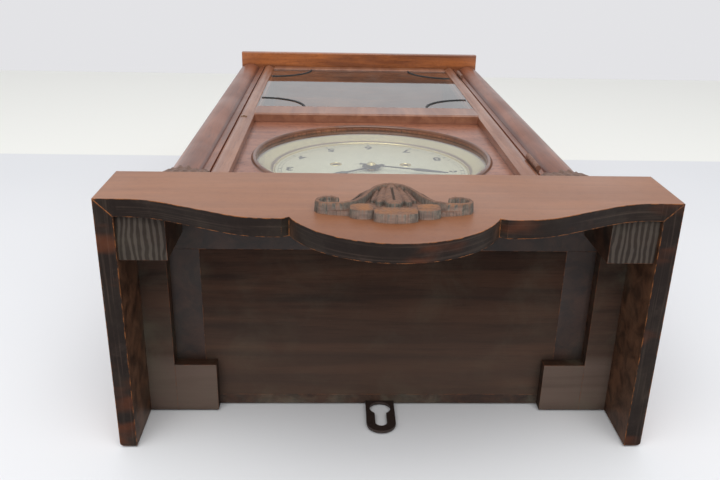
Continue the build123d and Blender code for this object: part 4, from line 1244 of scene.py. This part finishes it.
@dataclass(frozen=True)
class Room:
    """The pale table, the soft light and the camera of the photograph.

    Places are in metres, and the sensor and lens in millimetres. right, up and ahead are the
    camera's axes. A sky ramp is an axis, two places on it and the strengths there.
    """

    eye: tuple[float, float, float] = (0.03567, -0.34449, 0.48237)
    right: tuple[float, float, float] = (-0.99944481, -0.01929558, 0.02716148)
    up: tuple[float, float, float] = (0.0076891, -0.92680215, -0.37547125)
    ahead: tuple[float, float, float] = (-0.03241826, 0.37505395, -0.92643596)
    sensor: float = 36.0
    lens: float = 38.411
    clip: tuple[float, float] = (0.01, 20.0)
    ground_half: float = 3.0
    ground_behind: float = 0.0015
    ground_ends: tuple[float, float] = (-1.49, 1.6)
    sky: Colour = tint(238, 238, 241)
    sky_ramps: tuple[tuple[str, float, float, float, float], ...] = (("Z", 0.0, 0.9, 0.9, 0.34),
                                                                     ("Y", 0.0, -1.0, 1.0, 0.9))
    lamp_size: tuple[float, float] = (2.4, 2.0)
    lamp_power: float = 40
    lamp_colour: tuple[float, float, float] = (1.0, 0.985, 0.96)
    lamp_place: tuple[float, float, float] = (0.1, -1.75, 0.95)
    lamp_aim: tuple[float, float, float] = (0, 0, -0.2)

    def table(self) -> bpy.types.Object:
        """Lays the pale ground behind the clock, seen only from its front.

        Returns:
            The ground.
        """
        paint = Paint("ground")
        down = paint.axis(paint.place, "Z")
        edge = paint.smooth(down, -0.735, -0.728)
        cloud = paint.noise(paint.place, 3.0, 2, 0.5)
        near = paint.mix(cloud, tint(233, 235, 238), tint(226, 229, 233))
        colour = paint.mix(edge, tint(247, 248, 243), near)
        bsdf = paint.node("ShaderNodeBsdfPrincipled")
        paint.feed(bsdf.inputs["Base Color"], colour)
        bsdf.inputs["Roughness"].default_value = 0.55
        clear = paint.node("ShaderNodeBsdfTransparent")
        choose = paint.node("ShaderNodeMixShader")
        paint.feed(choose.inputs[0], paint.geometry.outputs["Backfacing"])
        paint.feed(choose.inputs[1], bsdf.outputs[0])
        paint.feed(choose.inputs[2], clear.outputs[0])
        low, high = self.ground_ends
        points = np.array([(side * self.ground_half, self.ground_behind, height)
                           for side, height in ((-1, low), (1, low), (1, high), (-1, high))])
        made = solid("ground", points, np.array([(0, 1, 2, 3)]), paint.close(choose.outputs[0]), False)
        return made

    def light(self) -> bpy.types.Object:
        """Lights the room with a pale sky and one large soft lamp in front of the clock.

        The sky's strength is the product of two ramps over its direction.

        Returns:
            The lamp.
        """
        world = bpy.data.worlds.new("room")
        world.use_nodes = True
        tree = world.node_tree
        sky = tree.nodes["Background"]
        sky.inputs["Color"].default_value = self.sky
        split = tree.nodes.new("ShaderNodeSeparateXYZ")
        tree.links.new(tree.nodes.new("ShaderNodeTexCoord").outputs["Generated"], split.inputs[0])
        product = tree.nodes.new("ShaderNodeMath")
        product.operation = "MULTIPLY"
        for number, (axis, *bounds) in enumerate(self.sky_ramps):
            ramp = tree.nodes.new("ShaderNodeMapRange")
            tree.links.new(split.outputs[axis], ramp.inputs["Value"])
            for key, given in zip(("From Min", "From Max", "To Min", "To Max"), bounds):
                ramp.inputs[key].default_value = given
            tree.links.new(ramp.outputs["Result"], product.inputs[number])
        tree.links.new(product.outputs[0], sky.inputs["Strength"])
        bpy.context.scene.world = world
        lamp = bpy.data.lights.new("window", "AREA")
        lamp.shape = "RECTANGLE"
        lamp.size, lamp.size_y = self.lamp_size
        lamp.energy = self.lamp_power
        lamp.color = self.lamp_colour
        made = bpy.data.objects.new("window", lamp)
        made.location = self.lamp_place
        made.rotation_euler = (Vector(self.lamp_aim) - made.location).to_track_quat("-Z", "Y").to_euler()
        bpy.context.scene.collection.objects.link(made)
        return made

    def camera(self) -> bpy.types.Object:
        """Places the camera at the photograph's station.

        Returns:
            The camera.
        """
        lens = bpy.data.cameras.new("photo")
        lens.sensor_width = self.sensor
        lens.lens = self.lens
        lens.clip_start, lens.clip_end = self.clip
        made = bpy.data.objects.new("photo", lens)
        turn = Matrix((self.right, self.up, tuple(-c for c in self.ahead))).transposed()
        made.matrix_world = Matrix.Translation(self.eye) @ turn.to_4x4()
        bpy.context.scene.collection.objects.link(made)
        bpy.context.scene.camera = made
        return made

    def build(self) -> list[bpy.types.Object]:
        """Builds the room. Returns: the ground, the lamp and the camera."""
        bpy.context.scene.view_settings.view_transform = "Standard"
        return [self.table(), self.light(), self.camera()]


def dress(made: dict[str, bpy.types.Material]) -> None:
    """Gives every CAD node the finish of its material slot.

    Args:
        made: The materials by slot name.
    """
    slots = {part["node"]: part["material_slot"] for part in frame["record"]["subparts"]}
    for node, piece in frame["nodes"].items():
        piece.data.materials.clear()
        piece.data.materials.append(made[slots[node]])
        logging.info("%s in %s", node, slots[node])


def main() -> None:
    """Dresses the frame, builds the looks round it in order, and reports each piece."""
    logging.basicConfig(level=logging.INFO)
    made = finishes()
    dress(made)
    carved = made["carved_wood"]
    for assembly in (Crest(carved), Dial(made), DialSurround(made), Capitals(carved), Room()):
        for piece in assembly.build():
            logging.info("%s: %s", type(assembly).__name__, piece.name)


if __name__ == "__main__":
    main()
